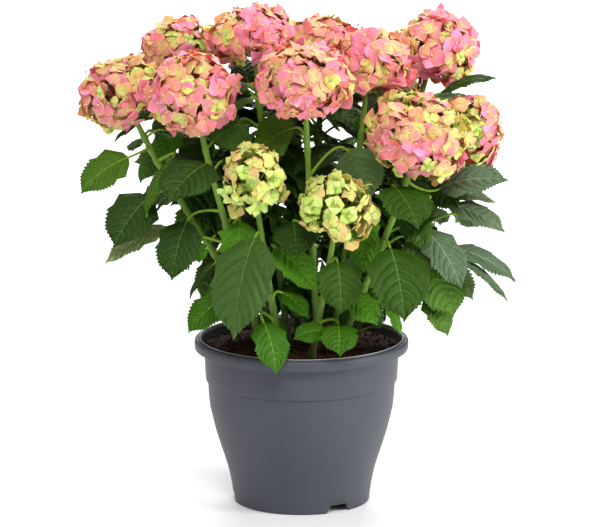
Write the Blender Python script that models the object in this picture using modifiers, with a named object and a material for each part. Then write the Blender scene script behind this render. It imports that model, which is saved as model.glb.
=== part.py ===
"""Hydrangea shrub in its pot: a turned pot, its filling of compost, and fifteen canes.

Each cane is three solids in a row: the bare cane that stands on the compost, the leafy mass above it,
and the bloom at its tip. They meet 0.3 mm clear of each other. Metres, +Z up, the origin in the middle
of the pot's flat underside.
"""

import math
from collections import namedtuple

import bmesh
import bpy
import numpy as np
from mathutils import Matrix, Vector
from mathutils.bvhtree import BVHTree

GAP = 0.0003  # between pieces that touch
SEED = 11
UP = np.array((0.0, 0.0, 1.0))

# ---- pot: a nursery pot with a folded rim, a stepped neck and a skirt round a raised ring
POT_HEIGHT = 0.224
RIM_RADIUS = 0.145
RIM_WIDTH = 0.009
RIM_BAND = 0.014
NECK_RADIUS = 0.1315
STEP_HEIGHT = 0.165
STEP_DEPTH = 0.003
FOOT_RADIUS = 0.092
WALL = 0.0026
RING_HEIGHT = 0.012
HUB_RADIUS = 0.069
HUB_DRAFT = 0.003  # how much wider the hub is at the ring than at its foot
EDGE_ACROSS = 0.0015  # the rim's bevelled edges
EDGE_DOWN = 0.002
FOLD_CLEAR = 0.001  # left inside the rim's fold
POT_STEPS = 36

# Outside of the body from under the rim down to the foot, as (radius, height).
BODY_PROFILE = (
    (NECK_RADIUS, 0.197),
    (0.1275, STEP_HEIGHT + 0.003),
    (0.1275 - STEP_DEPTH, STEP_HEIGHT - 0.002),
    (0.1200, 0.115),
    (0.1115, 0.082),
    (0.1005, 0.049),
    (0.0955, 0.026),
)
INNER_POINTS = (0, 2, 4, 5, 6)  # the points of it that the inner wall follows
# Inner floor, outwards: the hub, the step up its side, and the ring.
FLOOR_PROFILE = ((0.067, WALL), (0.0705, RING_HEIGHT + WALL), (0.0905, RING_HEIGHT + WALL))

NOTCHES = 3
NOTCH_TURN = 303  # degrees round from +X to the first drainage notch
NOTCH_WIDTH = 0.037
NOTCH_TOP_WIDTH = 0.023
NOTCH_HEIGHT = 0.0105
NOTCH_REACH = 0.014  # of its cutter, across the skirt
NOTCH_BELOW = 0.003  # how far the cutter stands out under the pot

SOIL_TOP = 0.212
SOIL_CLEAR = 1.5 * GAP  # to the side, so that the gap square to a sloping wall is GAP or a little more

# ---- canes
Cane = namedtuple("Cane", "foot middle half_width half_height leaves_from")

# foot on the compost, middle of the bloom, half the bloom's width and height, height where leaves begin
CANES = {
    "far_left": Cane((-0.038, -0.010), (-0.237, -0.020, 0.561), 0.066, 0.054, 0.250),
    "left_front": Cane((-0.052, -0.045), (-0.142, -0.110, 0.576), 0.062, 0.062, 0.262),
    "left_back": Cane((-0.040, 0.030), (-0.167, 0.085, 0.603), 0.057, 0.046, 0.262),
    "top_left": Cane((-0.018, 0.005), (-0.065, 0.010, 0.634), 0.065, 0.045, 0.300),
    "front": Cane((0.022, -0.025), (0.004, -0.120, 0.596), 0.068, 0.051, 0.262),
    "top_back": Cane((0.005, 0.040), (0.030, 0.125, 0.602), 0.052, 0.044, 0.270),
    "centre": Cane((0.042, -0.012), (0.090, -0.010, 0.601), 0.057, 0.051, 0.262),
    "right_top": Cane((0.048, 0.032), (0.179, 0.095, 0.600), 0.067, 0.057, 0.270),
    "right_front": Cane((0.050, -0.040), (0.156, -0.100, 0.518), 0.074, 0.062, 0.246),
    "far_right": Cane((0.062, 0.005), (0.221, 0.010, 0.502), 0.054, 0.055, 0.262),
    "green_left": Cane((-0.028, -0.058), (-0.062, -0.130, 0.467), 0.046, 0.050, 0.240),
    "green_right": Cane((0.014, -0.062), (0.047, -0.140, 0.430), 0.054, 0.050, 0.240),
    "back_left": Cane((-0.035, 0.056), (-0.140, 0.165, 0.520), 0.056, 0.050, 0.258),
    "back": Cane((-0.005, 0.070), (-0.015, 0.215, 0.545), 0.058, 0.052, 0.258),
    "back_right": Cane((0.038, 0.058), (0.118, 0.205, 0.552), 0.058, 0.052, 0.258),
}

CANE_FOOT_RADIUS = 0.0048
CANE_TIP_RADIUS = 0.0036
FLARE = 0.0020  # how much wider the cane is where it leaves the compost
FLARE_SHARE = 0.35  # of the bare stretch, after which the flare has gone
CANE_SIDES = 6
STEM_SIDES = 5
FIRST_SIDE = (0.3, 0.9, 0.1)  # where the first corner of a limb's section points
CANE_INTO_BLOOM = 0.55  # half heights of the bloom, from its middle down to the cane's tip
CANE_PULLS = (0.36, 0.30)  # of the cane's length, how strongly its foot and its tip steer its curve
UPRIGHT = 0.25  # how much a bloom straightens up from its cane's lean
BLOOM_CLEAR = 1.12  # the leafy stem ends at this many bloom radii from the bloom's middle
BLOOM_GAP = 1.5 * GAP  # along the cane, between the leafy stem and the bloom's own stretch of it
STALK_RADIUS = 0.0018
STALK_STEPS = 4
STALK_BEND = 0.45  # of the stalk's length, how far it runs on straight behind the blade

# ---- leaves
# Cane, height of its node, stalk (length, heading, rise), blade (length, width) and blade (heading, droop,
# roll); headings run anticlockwise from +X, and angles are in degrees.
PLACED_LEAVES = (
    ("far_left", 0.489, (0.046, 235, -8), (0.084, 0.049), (206, 32, -45)),
    ("far_left", 0.470, (0.045, 300, 15), (0.092, 0.054), (228, 55, 30)),
    ("far_left", 0.422, (0.056, 230, 8), (0.088, 0.069), (220, 45, -30)),
    ("far_left", 0.385, (0.045, 215, 0), (0.098, 0.047), (195, 29, -18)),
    ("far_left", 0.375, (0.035, 180, 10), (0.062, 0.046), (185, 30, 5)),
    ("left_back", 0.440, (0.025, 250, 20), (0.080, 0.054), (240, 65, -10)),
    ("left_back", 0.400, (0.030, 230, 20), (0.080, 0.056), (215, 40, -30)),
    ("left_front", 0.482, (0.025, 275, 10), (0.095, 0.075), (245, 25, -15)),
    ("left_front", 0.415, (0.052, 206, -10), (0.084, 0.062), (240, 62, -10)),
    ("far_left", 0.312, (0.032, 220, 40), (0.060, 0.030), (204, 52, 40)),
    ("left_front", 0.366, (0.050, 182, 8), (0.036, 0.028), (285, 45, 0)),
    ("left_front", 0.300, (0.022, 210, 0), (0.080, 0.046), (203, 38, -40)),
    ("left_back", 0.480, (0.042, 200, 10), (0.080, 0.052), (204, 48, -15)),
    ("left_back", 0.505, (0.040, 235, -10), (0.060, 0.050), (205, 45, -15)),
    ("green_left", 0.372, (0.045, 255, 27), (0.140, 0.094), (239, 67, 0)),
    ("front", 0.335, (0.060, 195, 28), (0.084, 0.058), (330, 42, 20)),
    ("green_left", 0.280, (0.036, 300, 50), (0.050, 0.042), (337, 40, 10)),
    ("green_left", 0.262, (0.070, 257, 12), (0.072, 0.054), (303, 64, 0)),
    ("green_right", 0.335, (0.036, 298, 40), (0.072, 0.062), (281, 66, 0)),
    ("green_right", 0.262, (0.054, 300, 10), (0.058, 0.050), (273, 35, 0)),
    ("green_right", 0.252, (0.058, 282, 12), (0.046, 0.036), (194, 12, -35)),
    ("front", 0.285, (0.058, 316, 15), (0.066, 0.046), (318, 30, 20)),
    ("front", 0.505, (0.032, 145, 45), (0.082, 0.072), (165, 36, -55)),
    ("front", 0.385, (0.030, 200, 30), (0.066, 0.062), (275, 35, 0)),
    ("left_front", 0.385, (0.034, 310, 35), (0.072, 0.052), (275, 60, 0)),
    ("right_front", 0.372, (0.046, 280, 0), (0.104, 0.086), (290, 60, 0)),
    ("right_front", 0.440, (0.035, 245, 25), (0.084, 0.074), (290, 32, 0)),
    ("centre", 0.400, (0.050, 295, 5), (0.080, 0.046), (284, 65, 20)),
    ("right_front", 0.385, (0.052, 10, 0), (0.094, 0.058), (325, 52, 20)),
    ("far_right", 0.348, (0.055, 300, -25), (0.078, 0.078), (312, 46, 10)),
    ("far_right", 0.300, (0.076, 316, -8), (0.062, 0.044), (318, 52, 10)),
    ("far_right", 0.421, (0.044, 293, -12), (0.082, 0.048), (345, 24, 20)),
    ("far_right", 0.438, (0.025, 260, -40), (0.074, 0.045), (350, 15, 5)),
    ("far_right", 0.375, (0.056, 328, -25), (0.100, 0.054), (354, 27, 14)),
    ("far_right", 0.362, (0.060, 318, -15), (0.108, 0.034), (338, 34, -5)),
    ("right_front", 0.458, (0.048, 20, -18), (0.096, 0.058), (350, -9, 32)),
    ("right_front", 0.430, (0.040, 345, 5), (0.070, 0.050), (228, 48, 0)),
    ("right_front", 0.400, (0.034, 30, 20), (0.060, 0.040), (290, 62, 0)),
    ("right_top", 0.532, (0.066, 300, 20), (0.080, 0.044), (352, -16, 10)),
    ("centre", 0.480, (0.030, 220, 15), (0.078, 0.050), (206, 20, -20)),
    ("top_left", 0.560, (0.022, 130, 20), (0.060, 0.044), (105, -28, 0)),
    ("right_front", 0.276, (0.044, 335, 10), (0.044, 0.032), (335, 60, 0)),
)

LEAF_ARCH = math.radians(35)  # how far the midrib bends from base to tip
LEAF_FOLD = 0.12
LEAF_CURL = 0.10
LEAF_THICKNESS = 0.0011  # above and below the midrib; nothing at the rim
LEAF_THICKNESS_SHARE = 1 / 110
OUTLINE_POWERS = (0.55, 0.85)  # how bluntly the blade's outline starts and ends
CLEARANCE = 0.0012  # kept round each leaf
CLEARANCE_ACROSS = 12  # of the blade's half width, for each metre of clearance
CANE_SPACE = 0.0058  # the radius round a cane, and the depth round a bloom, that leaves keep out of
BLOOM_SPACE = 0.003
RIM_SPACE = ((0.139, 0.209), (0.139, 0.2265), (0.1475, 0.2265), (0.1475, 0.205))  # and round the pot's rim
SOIL_SPACE = (0.139, 0.215)  # radius and height of the disc over the compost that they stay above

# The rule by which leaves grow up a cane: angles in degrees, and how far each value sways by chance.
NODE_SPACING = 0.036
HIGHEST_NODE = 0.02  # below the bloom, as a share of the cane
LOWEST_NODE = 0.004  # above the end of the bare stretch
GOLDEN_TURN = 137.5
LEAF_LENGTH, LENGTH_SWAY = 0.108, 0.016
LEAF_WIDTH = 0.64  # of its length
LEAF_SIZES = (1.0, 0.78, 0.6)  # tried in turn
STALK_LENGTH, STALK_SWAY = 0.034, 0.008
STALK_RISE = 30
HEADING_SWAY = 15
ROLL_SWAY = 15
TOP_DROOP, DROOP_PER_PAIR, DROOP_SWAY = 18, 7, 12

# How far from the pot's axis a leaf tip may reach, at each height.
SPACE_HEIGHTS = (0.225, 0.30, 0.40, 0.50)
SPACE_RADII = (0.13, 0.165, 0.23, 0.27)
SPACE_FRONT = -0.030
SPACE_FLOOR = 0.235

# Openings through the crown, along lines that dip towards the back: where each crosses the upright plane
# through the pot's axis, as (x, height), and its half width and half height.
OPENING_DIP = math.radians(12.2)
OPENINGS = (
    (0.047, 0.507, 0.0175, 0.0125), (0.008, 0.496, 0.0095, 0.0070), (0.054, 0.470, 0.0080, 0.0055),
    (-0.229, 0.494, 0.0230, 0.0165), (-0.218, 0.433, 0.0150, 0.0100), (-0.227, 0.452, 0.0095, 0.0140),
    (-0.185, 0.398, 0.0175, 0.0150), (-0.134, 0.328, 0.0080, 0.0125), (-0.127, 0.305, 0.0055, 0.0085),
    (-0.113, 0.336, 0.0040, 0.0055), (0.026, 0.328, 0.0055, 0.0040), (-0.169, 0.489, 0.0080, 0.0040),
)

# Turns and extra droops, in degrees, that a leaf tries before it is given up.
SMALL_TURNS = (
    (0, 0), (6, 0), (-6, 0), (0, 8), (0, -8), (8, 8), (-8, 8), (12, 0), (-12, 0), (8, -8), (-8, -8),
    (0, 15), (16, 8), (-16, 8), (0, -15),
)
WIDE_TURNS = (
    (0, 0), (15, 0), (-15, 0), (0, 14), (30, 6), (-30, 6), (0, -14), (45, 10), (-45, 10), (60, 0), (-60, 0),
)

# ---- blooms
FLORETS = 13
FLORET_RADIUS = 0.021
FLORET_RISE = 0.0035
FLORET_ROOT = 0.010
FLORET_LOWEST = 118  # degrees from the bloom's top to its last floret
FLORET_TILT = 0.12
FLORET_SHARES = (0.96, 0.50, 0.01)  # a floret's place, as a share of the bloom: first, last and step
BLOOM_REACH = 1.03  # bloom radii that no floret's corner passes
CORE_SHARE = 0.90  # the dense middle, as a share of the bloom
CORE_COLUMNS = 10
CORE_ROWS = 6

COLOURS = {
    "pot": ((0.085, 0.095, 0.108, 1), 0.55),
    "compost": ((0.055, 0.025, 0.016, 1), 0.95),
    "cane": ((0.20, 0.30, 0.045, 1), 0.60),
    "foliage": ((0.045, 0.14, 0.025, 1), 0.50),
    "bloom_pink": ((0.80, 0.22, 0.26, 1), 0.65),
    "bloom_green": ((0.62, 0.70, 0.28, 1), 0.65),
}


# ---------------------------------------------------------------- scene and materials

def clear_scene():
    for item in list(bpy.data.objects):
        bpy.data.objects.remove(item, do_unlink=True)


def new_collection(name):
    group = bpy.data.collections.new(name)
    bpy.context.scene.collection.children.link(group)
    return group


def material(name, key):
    colour, roughness = COLOURS[key]
    made = bpy.data.materials.new(name)
    made.use_nodes = True
    shader = made.node_tree.nodes["Principled BSDF"]
    shader.inputs["Base Color"].default_value = colour
    shader.inputs["Roughness"].default_value = roughness
    shader.inputs["Metallic"].default_value = 0.0
    return made


def mesh_object(name, verts, faces, group):
    """an object whose mesh has these corners and faces, turned to face outwards"""
    mesh = bpy.data.meshes.new(name)
    mesh.from_pydata([tuple(v) for v in verts], [], [tuple(f) for f in faces])
    tidy = bmesh.new()
    tidy.from_mesh(mesh)
    bmesh.ops.recalc_face_normals(tidy, faces=tidy.faces)
    tidy.to_mesh(mesh)
    tidy.free()
    made = bpy.data.objects.new(name, mesh)
    group.objects.link(made)
    return made


def bmesh_object(name, shape, group):
    mesh = bpy.data.meshes.new(name)
    shape.to_mesh(mesh)
    shape.free()
    made = bpy.data.objects.new(name, mesh)
    group.objects.link(made)
    return made


def turned_object(name, profile, group):
    """a profile of (radius, height), turned about Z"""
    mesh = bpy.data.meshes.new(name)
    verts = [(radius, 0.0, height) for radius, height in profile]
    mesh.from_pydata(verts, [(k, k + 1) for k in range(len(verts) - 1)], [])
    made = bpy.data.objects.new(name, mesh)
    group.objects.link(made)
    screw = made.modifiers.new("turn", "SCREW")
    screw.steps = POT_STEPS
    screw.render_steps = POT_STEPS
    screw.use_merge_vertices = True
    screw.merge_threshold = 0.0001
    return made


# ---------------------------------------------------------------- the plant's rule

def unit(vector):
    return vector / np.linalg.norm(vector)


def heading(degrees):
    angle = math.radians(degrees)
    return np.array((math.cos(angle), math.sin(angle), 0.0))


def bloom_axis(cane):
    """up along the cane's lean, and a little more upright"""
    foot = np.array((*cane.foot, SOIL_TOP))
    return unit(unit(np.array(cane.middle) - foot) + UPRIGHT * UP)


def cane_points(name, shares):
    """points of the cane at shares of the way from the compost into the bloom: a cubic curve that
    sets off straight at the bloom and arrives along the bloom's axis"""
    cane = CANES[name]
    foot = np.array((*cane.foot, SOIL_TOP + GAP))
    middle = np.array(cane.middle)
    axis = bloom_axis(cane)
    tip = middle - axis * cane.half_height * CANE_INTO_BLOOM
    length = np.linalg.norm(tip - foot)
    second = foot + unit(middle - foot) * length * CANE_PULLS[0]
    third = tip - axis * length * CANE_PULLS[1]
    t = np.asarray(shares, float)[:, None]
    near = (1 - t) ** 3 * foot + 3 * (1 - t) ** 2 * t * second
    return near + 3 * (1 - t) * t ** 2 * third + t ** 3 * tip


def cane_length(name):
    return np.linalg.norm(np.diff(cane_points(name, np.linspace(0, 1, 50)), axis=0), axis=1).sum()


def share_at_height(name, height):
    shares = np.linspace(0, 1, 401)
    return float(np.interp(height, cane_points(name, shares)[:, 2], shares))


def share_at_bloom(name):
    """where the cane comes within BLOOM_CLEAR bloom radii of the bloom's middle"""
    cane = CANES[name]
    shares = np.linspace(0.5, 1, 201)
    offsets = cane_points(name, shares) - np.array(cane.middle)
    along = offsets @ bloom_axis(cane)
    across = np.linalg.norm(offsets - along[:, None] * bloom_axis(cane), axis=1)
    reach = np.hypot(along / cane.half_height, across / cane.half_width)
    return float(np.interp(-BLOOM_CLEAR, -reach, shares))


def make_leaf(cane, height, stalk, size, blade_angles):
    """a leaf as a record of its place: the node on its cane, the blade's base and how the blade hangs"""
    stalk_length, stalk_heading, rise = stalk
    blade_heading, droop, roll = blade_angles
    node = cane_points(cane, [share_at_height(cane, height)])[0]
    rise = math.radians(rise)
    way = math.cos(rise) * heading(stalk_heading) + math.sin(rise) * UP
    return {
        "cane": cane, "node": node, "base": node + stalk_length * way, "heading": blade_heading,
        "droop": math.radians(droop), "roll": math.radians(roll), "length": size[0], "width": size[1],
    }


def outline(along):
    """share of the blade's greatest half width: broad before the middle, drawn out to the tip"""
    first, last = OUTLINE_POWERS
    peak = first / (first + last)
    along = np.clip(along, 0, 1)
    return (along / peak) ** first * ((1 - along) / (1 - peak)) ** last


def blade(leaf, along, across, lift=0.0):
    """points of a blade: its midrib is an arc that bends down by LEAF_ARCH, and the two halves rise
    from it in a shallow fold that curls over at the margin"""
    along, across = np.broadcast_arrays(np.asarray(along, float), np.asarray(across, float))
    angle = leaf["droop"] + LEAF_ARCH * (along - 0.5)
    first = leaf["droop"] - 0.5 * LEAF_ARCH
    ahead = heading(leaf["heading"])
    side = np.cross(UP, ahead)
    run = leaf["length"] * (np.sin(angle) - math.sin(first)) / LEAF_ARCH
    fall = leaf["length"] * (np.cos(angle) - math.cos(first)) / LEAF_ARCH
    spine = leaf["base"] + run[..., None] * ahead + fall[..., None] * UP
    normal = np.cos(angle)[..., None] * UP + np.sin(angle)[..., None] * ahead
    turn, tilt = math.cos(leaf["roll"]), math.sin(leaf["roll"])
    sideways = side * turn + normal * tilt
    face = normal * turn - side * tilt
    half = 0.5 * leaf["width"] * outline(along)
    height = half * (LEAF_FOLD * np.abs(across) - LEAF_CURL * across ** 2) + lift
    return spine + (half * across)[..., None] * sideways + height[..., None] * face


def stalk_path(leaf, steps):
    """from the blade's base back in a bend to the middle of the cane at its node"""
    inner = blade(leaf, np.array([0.06]), np.array([0.0]))[0]
    length = np.linalg.norm(leaf["base"] - leaf["node"])
    bend = leaf["base"] - unit(inner - leaf["base"]) * length * STALK_BEND
    t = np.linspace(0, 1, steps)[:, None]
    return (1 - t) ** 2 * leaf["base"] + 2 * (1 - t) * t * bend + t ** 2 * leaf["node"]


def rings(points, radii, sides, side):
    """rings of corners carried along a path, the first corner of each kept towards side"""
    ways = np.gradient(points, axis=0)
    angles = np.arange(sides) * 2 * math.pi / sides
    made = []
    for point, way, radius in zip(points, ways, np.broadcast_to(radii, len(points))):
        way = unit(way)
        side = unit(side - way * (side @ way))
        across = np.outer(np.cos(angles), side) + np.outer(np.sin(angles), np.cross(way, side))
        made.append(point + radius * across)
    return np.vstack(made)


def walls(count, sides, first=0):
    """the faces between so many rings of corners, counted from corner number first"""
    faces = []
    for start in range(first, first + (count - 1) * sides, sides):
        for k in range(sides):
            n = (k + 1) % sides
            faces.append((start + k, start + n, start + sides + n, start + sides + k))
    return faces


def limb_solid(points, radii, sides, flat_foot=False):
    """a limb of so many sides with closed ends; a flat foot slides its first ring onto a level plane"""
    verts = rings(points, radii, sides, np.array(FIRST_SIDE))
    if flat_foot:
        way = points[1] - points[0]
        verts[:sides] -= ((verts[:sides, 2] - points[0][2]) / way[2])[:, None] * way
    last = len(verts) - sides
    ends = [tuple(range(sides)), tuple(range(last, last + sides))]
    return verts, walls(len(points), sides) + ends


def leaf_solid(leaf, extra=0.0):
    """a leaf as one closed solid: a blade with a rim of seven corners and two corners above and two
    below its midrib, and a three-sided stalk that opens into the blade's base.
    Returns its corners, the blade's faces and the stalk's faces."""
    thick = max(LEAF_THICKNESS, leaf["length"] * LEAF_THICKNESS_SHARE) + extra
    rim_along = np.array((0.16, 0.44, 0.76, 1.0, 0.76, 0.44, 0.16))
    rim_across = np.array((1, 1, 1, 0, -1, -1, -1)) * (1 + extra * CLEARANCE_ACROSS)
    middle = np.array((0.3, 0.64))
    corners = np.vstack((
        blade(leaf, rim_along, rim_across),
        blade(leaf, middle, np.zeros(2), thick),
        blade(leaf, middle, np.zeros(2), -thick),
    ))
    faces = []
    for near, far in ((7, 8), (9, 10)):
        faces += [(1, 0, near), (far, 1, near), (2, 1, far), (3, 2, far), (4, 3, far), (5, 4, far),
                  (near, 5, far), (6, 5, near)]
    top, left, right = 11, 12, 13
    faces += [(7, 0, top), (7, top, 6), (0, left, top), (top, right, 6), (0, 9, left), (left, 9, right),
              (right, 9, 6)]
    face_up = np.cross(corners[3] - leaf["base"], corners[0] - corners[6])
    stalk = rings(stalk_path(leaf, STALK_STEPS), STALK_RADIUS + extra, 3, face_up)
    end = top + len(stalk) - 3
    return np.vstack((corners, stalk)), faces, walls(STALK_STEPS, 3, top) + [(end, end + 1, end + 2)]


def bloom_frame(cane):
    """the bloom's own axes, as columns: across, across and up"""
    axis = bloom_axis(cane)
    across = unit(np.cross(axis, (0.2, 1.0, 0.0)))
    return np.column_stack((across, np.cross(axis, across), axis))


def bloom_hull(cane, grow):
    """a coarse closed shell round the bloom, for keeping leaves out of it"""
    rows, columns = 8, 14
    size = np.array((cane.half_width, cane.half_width, cane.half_height)) + grow
    polar = np.repeat(np.arange(1, rows) * math.pi / rows, columns)
    round_ = np.tile(np.arange(columns) * 2 * math.pi / columns, rows - 1)
    ring = np.column_stack((np.sin(polar) * np.cos(round_), np.sin(polar) * np.sin(round_), -np.cos(polar)))
    local = np.vstack(((0, 0, -1), ring, (0, 0, 1))) * size
    verts = np.array(cane.middle) + local @ bloom_frame(cane).T
    last = len(verts) - 1
    faces = []
    for k in range(columns):
        n = (k + 1) % columns
        faces.append((0, 1 + n, 1 + k))
        for row in range(rows - 2):
            start = 1 + row * columns
            faces.append((start + k, start + n, start + columns + n, start + columns + k))
        start = 1 + (rows - 2) * columns
        faces.append((start + k, start + n, last))
    return verts, faces


def tree_of(verts, faces):
    return BVHTree.FromPolygons([tuple(v) for v in verts], faces)


def pot_and_soil_trees():
    """the ring round the rim and the disc over the compost that leaves keep out of"""
    corners = 24
    ring = [heading(360 * k / corners) for k in range(corners)]
    rim = np.array([p * radius + UP * height for radius, height in RIM_SPACE for p in ring])
    faces = []
    for k in range(len(RIM_SPACE)):
        for j in range(corners):
            n = (j + 1) % corners
            other = (k + 1) % len(RIM_SPACE)
            faces.append((k * corners + j, k * corners + n, other * corners + n, other * corners + j))
    disc = np.array([p * SOIL_SPACE[0] + UP * SOIL_SPACE[1] for p in ring])
    return tree_of(rim, faces), tree_of(disc, [tuple(range(corners))])


def opening_lines():
    """a point in front of the crown on each line through an opening's middle and its four sides, and the
    way all of them run"""
    way = np.array((0.0, math.cos(OPENING_DIP), -math.sin(OPENING_DIP)))
    starts = []
    for x, height, wide, high in OPENINGS:
        for across, up in ((0, 0), (wide, 0), (-wide, 0), (0, high), (0, -high)):
            starts.append(np.array((x + across, 0.0, height + up)) - way)
    return starts, way


def leaf_space(height):
    return np.interp(height, SPACE_HEIGHTS, SPACE_RADII)


def in_space(leaf):
    """true where a leaf keeps behind the front, above the pot and inside the crown"""
    base, middle, tip = blade(leaf, np.array([0.0, 0.5, 1.0]), np.zeros(3))
    if middle[1] < SPACE_FRONT or min(base[2], middle[2], tip[2]) < SPACE_FLOOR:
        return False
    return np.hypot(tip[0], tip[1]) <= leaf_space(tip[2])


class Crown:
    """the leaves accepted so far, and what they must keep clear of"""

    def __init__(self):
        self.leaves = []
        self.trees = []
        self.openings, self.way = opening_lines()
        self.fixed = [("", tree) for tree in pot_and_soil_trees()]
        for name, cane in CANES.items():
            limb = limb_solid(cane_points(name, np.linspace(0, 1, 9)), CANE_SPACE, STEM_SIDES)
            self.fixed.append((name, tree_of(*limb)))
            self.fixed.append(("", tree_of(*bloom_hull(cane, BLOOM_SPACE))))

    def leaves_openings(self, blade_tree):
        return all(blade_tree.ray_cast(start, self.way)[0] is None for start in self.openings)

    def is_clear(self, leaf, blade_tree, stalk_tree):
        for owner, tree in self.fixed:
            if blade_tree.overlap(tree):
                return False
            if owner != leaf["cane"] and stalk_tree.overlap(tree):
                return False
        for other, (other_blade, other_stalk) in zip(self.leaves, self.trees):
            if blade_tree.overlap(other_blade) or stalk_tree.overlap(other_blade):
                return False
            if blade_tree.overlap(other_stalk):
                return False
            if other["pair"] != leaf["pair"] and stalk_tree.overlap(other_stalk):
                return False
        return True

    def settle(self, pair, turns, row, free):
        """adds the leaf of a row at the first of the turns where it touches nothing; unless it is free,
        it also keeps inside the crown and leaves the openings open"""
        cane, height, (stalk_length, stalk_heading, rise), size, (blade_heading, droop, roll) = row
        for turn, drop in turns:
            stalk = (stalk_length, stalk_heading + turn * 0.6, rise)
            leaf = make_leaf(cane, height, stalk, size, (blade_heading + turn, droop + drop, roll))
            leaf["pair"] = pair
            if not free and not in_space(leaf):
                continue
            verts, blade_faces, stalk_faces = leaf_solid(leaf, CLEARANCE)
            blade_tree = tree_of(verts, blade_faces)
            if not free and not self.leaves_openings(blade_tree):
                continue
            stalk_tree = tree_of(verts, stalk_faces[:-4])
            if self.is_clear(leaf, blade_tree, stalk_tree):
                self.leaves.append(leaf)
                self.trees.append((blade_tree, stalk_tree))
                return True
        return False


def grow_leaves():
    """the placed leaves first, then pairs of leaves up every cane, each pair at right angles to the
    one below it, wherever there is room"""
    crown = Crown()
    for index, row in enumerate(PLACED_LEAVES):
        crown.settle(("placed", index), SMALL_TURNS, row, True)
    chance = np.random.default_rng(SEED)
    for index, (name, cane) in enumerate(CANES.items()):
        highest = cane_points(name, [share_at_bloom(name) - HIGHEST_NODE])[0][2]
        for step, height in enumerate(np.arange(highest, cane.leaves_from + LOWEST_NODE, -NODE_SPACING)):
            for half in (0, 180):
                sway = chance.uniform(-1, 1, 5)
                way = GOLDEN_TURN * index + 90 * step + half + HEADING_SWAY * sway[0]
                length = LEAF_LENGTH + LENGTH_SWAY * sway[1]
                droop = TOP_DROOP + DROOP_PER_PAIR * step + DROOP_SWAY * sway[2]
                stalk = (STALK_LENGTH + STALK_SWAY * sway[3], way, STALK_RISE)
                for size in LEAF_SIZES:
                    blade_size = (length * size, length * size * LEAF_WIDTH)
                    row = (name, height, stalk, blade_size, (way, droop, ROLL_SWAY * sway[4]))
                    if crown.settle((name, step), WIDE_TURNS, row, False):
                        break
    return crown.leaves


def florets(name):
    """places and axes of a bloom's florets: a golden-angle spiral from its top down its sides"""
    cane = CANES[name]
    chance = np.random.default_rng(SEED + list(CANES).index(name))
    frame = bloom_frame(cane)
    size = np.array((cane.half_width, cane.half_width, cane.half_height))
    lowest = math.cos(math.radians(FLORET_LOWEST))
    places = []
    for k in range(FLORETS):
        height = 1 - (1 - lowest) * (k + 0.5) / FLORETS
        turn = math.radians(GOLDEN_TURN) * k
        across = math.sqrt(1 - height * height)
        direction = np.array((across * math.cos(turn), across * math.sin(turn), height))
        outward = frame @ unit(direction / size)
        outward = unit(outward + FLORET_TILT * chance.uniform(-1, 1, 3))
        spin = chance.uniform(0, math.pi / 2)
        places.append((direction, outward, spin))
    return frame, size, places


# ---------------------------------------------------------------- solids

def fuse(base, group):
    """joins every object of the collection into the base object by one union, and removes them"""
    union = base.modifiers.new("fuse", "BOOLEAN")
    union.operation = "UNION"
    union.operand_type = "COLLECTION"
    union.collection = group
    union.solver = "EXACT"
    bpy.context.view_layer.update()
    graph = bpy.context.evaluated_depsgraph_get()
    fused = bpy.data.meshes.new_from_object(base.evaluated_get(graph))
    base.modifiers.clear()
    base.data = fused
    for piece in list(group.objects):
        bpy.data.objects.remove(piece, do_unlink=True)
    keep_largest(base)


def keep_largest(item):
    """drops loose scraps and hollows that the union sealed, leaving one closed skin"""
    shape = bmesh.new()
    shape.from_mesh(item.data)
    bmesh.ops.remove_doubles(shape, verts=shape.verts, dist=0.00001)
    shape.verts.ensure_lookup_table()
    unseen = set(shape.verts)
    islands = []
    while unseen:
        island = set()
        queue = [unseen.pop()]
        while queue:
            vert = queue.pop()
            island.add(vert)
            for edge in vert.link_edges:
                other = edge.other_vert(vert)
                if other in unseen:
                    unseen.discard(other)
                    queue.append(other)
        islands.append(island)
    largest = max(islands, key=len)
    loose = [vert for island in islands if island is not largest for vert in island]
    bmesh.ops.delete(shape, geom=loose, context="VERTS")
    shape.to_mesh(item.data)
    shape.free()


def finish(item, key):
    item.data.materials.clear()
    item.data.materials.append(material(item.name, key))


def inner_wall():
    """the pot's inner wall, downwards: it runs straight past the small steps of the outside"""
    return [(BODY_PROFILE[k][0] - WALL, BODY_PROFILE[k][1]) for k in INNER_POINTS]


def pot_profile():
    """section of the pot's shell: inner floor and wall from the axis up, over the folded rim, down the
    outside, and back under the skirt, the raised ring and the hub to the axis"""
    inner_rim = RIM_RADIUS - RIM_WIDTH
    band_foot = POT_HEIGHT - RIM_BAND
    edge = POT_HEIGHT - EDGE_DOWN
    fold = POT_HEIGHT - WALL - FOLD_CLEAR
    return (
        (0.0, WALL), *FLOOR_PROFILE, *inner_wall()[::-1],
        (inner_rim, edge), (inner_rim + EDGE_ACROSS, POT_HEIGHT),
        (RIM_RADIUS - EDGE_ACROSS, POT_HEIGHT), (RIM_RADIUS, edge), (RIM_RADIUS, band_foot),
        (RIM_RADIUS - WALL, band_foot), (RIM_RADIUS - WALL, fold),
        (inner_rim + WALL, fold), (NECK_RADIUS + FOLD_CLEAR, band_foot - EDGE_DOWN),
        *BODY_PROFILE, (FOOT_RADIUS, 0.0),
        (FOOT_RADIUS - WALL, 0.0), (FOOT_RADIUS - WALL, RING_HEIGHT), (HUB_RADIUS + HUB_DRAFT, RING_HEIGHT),
        (HUB_RADIUS, 0.0), (0.0, 0.0),
    )


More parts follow.
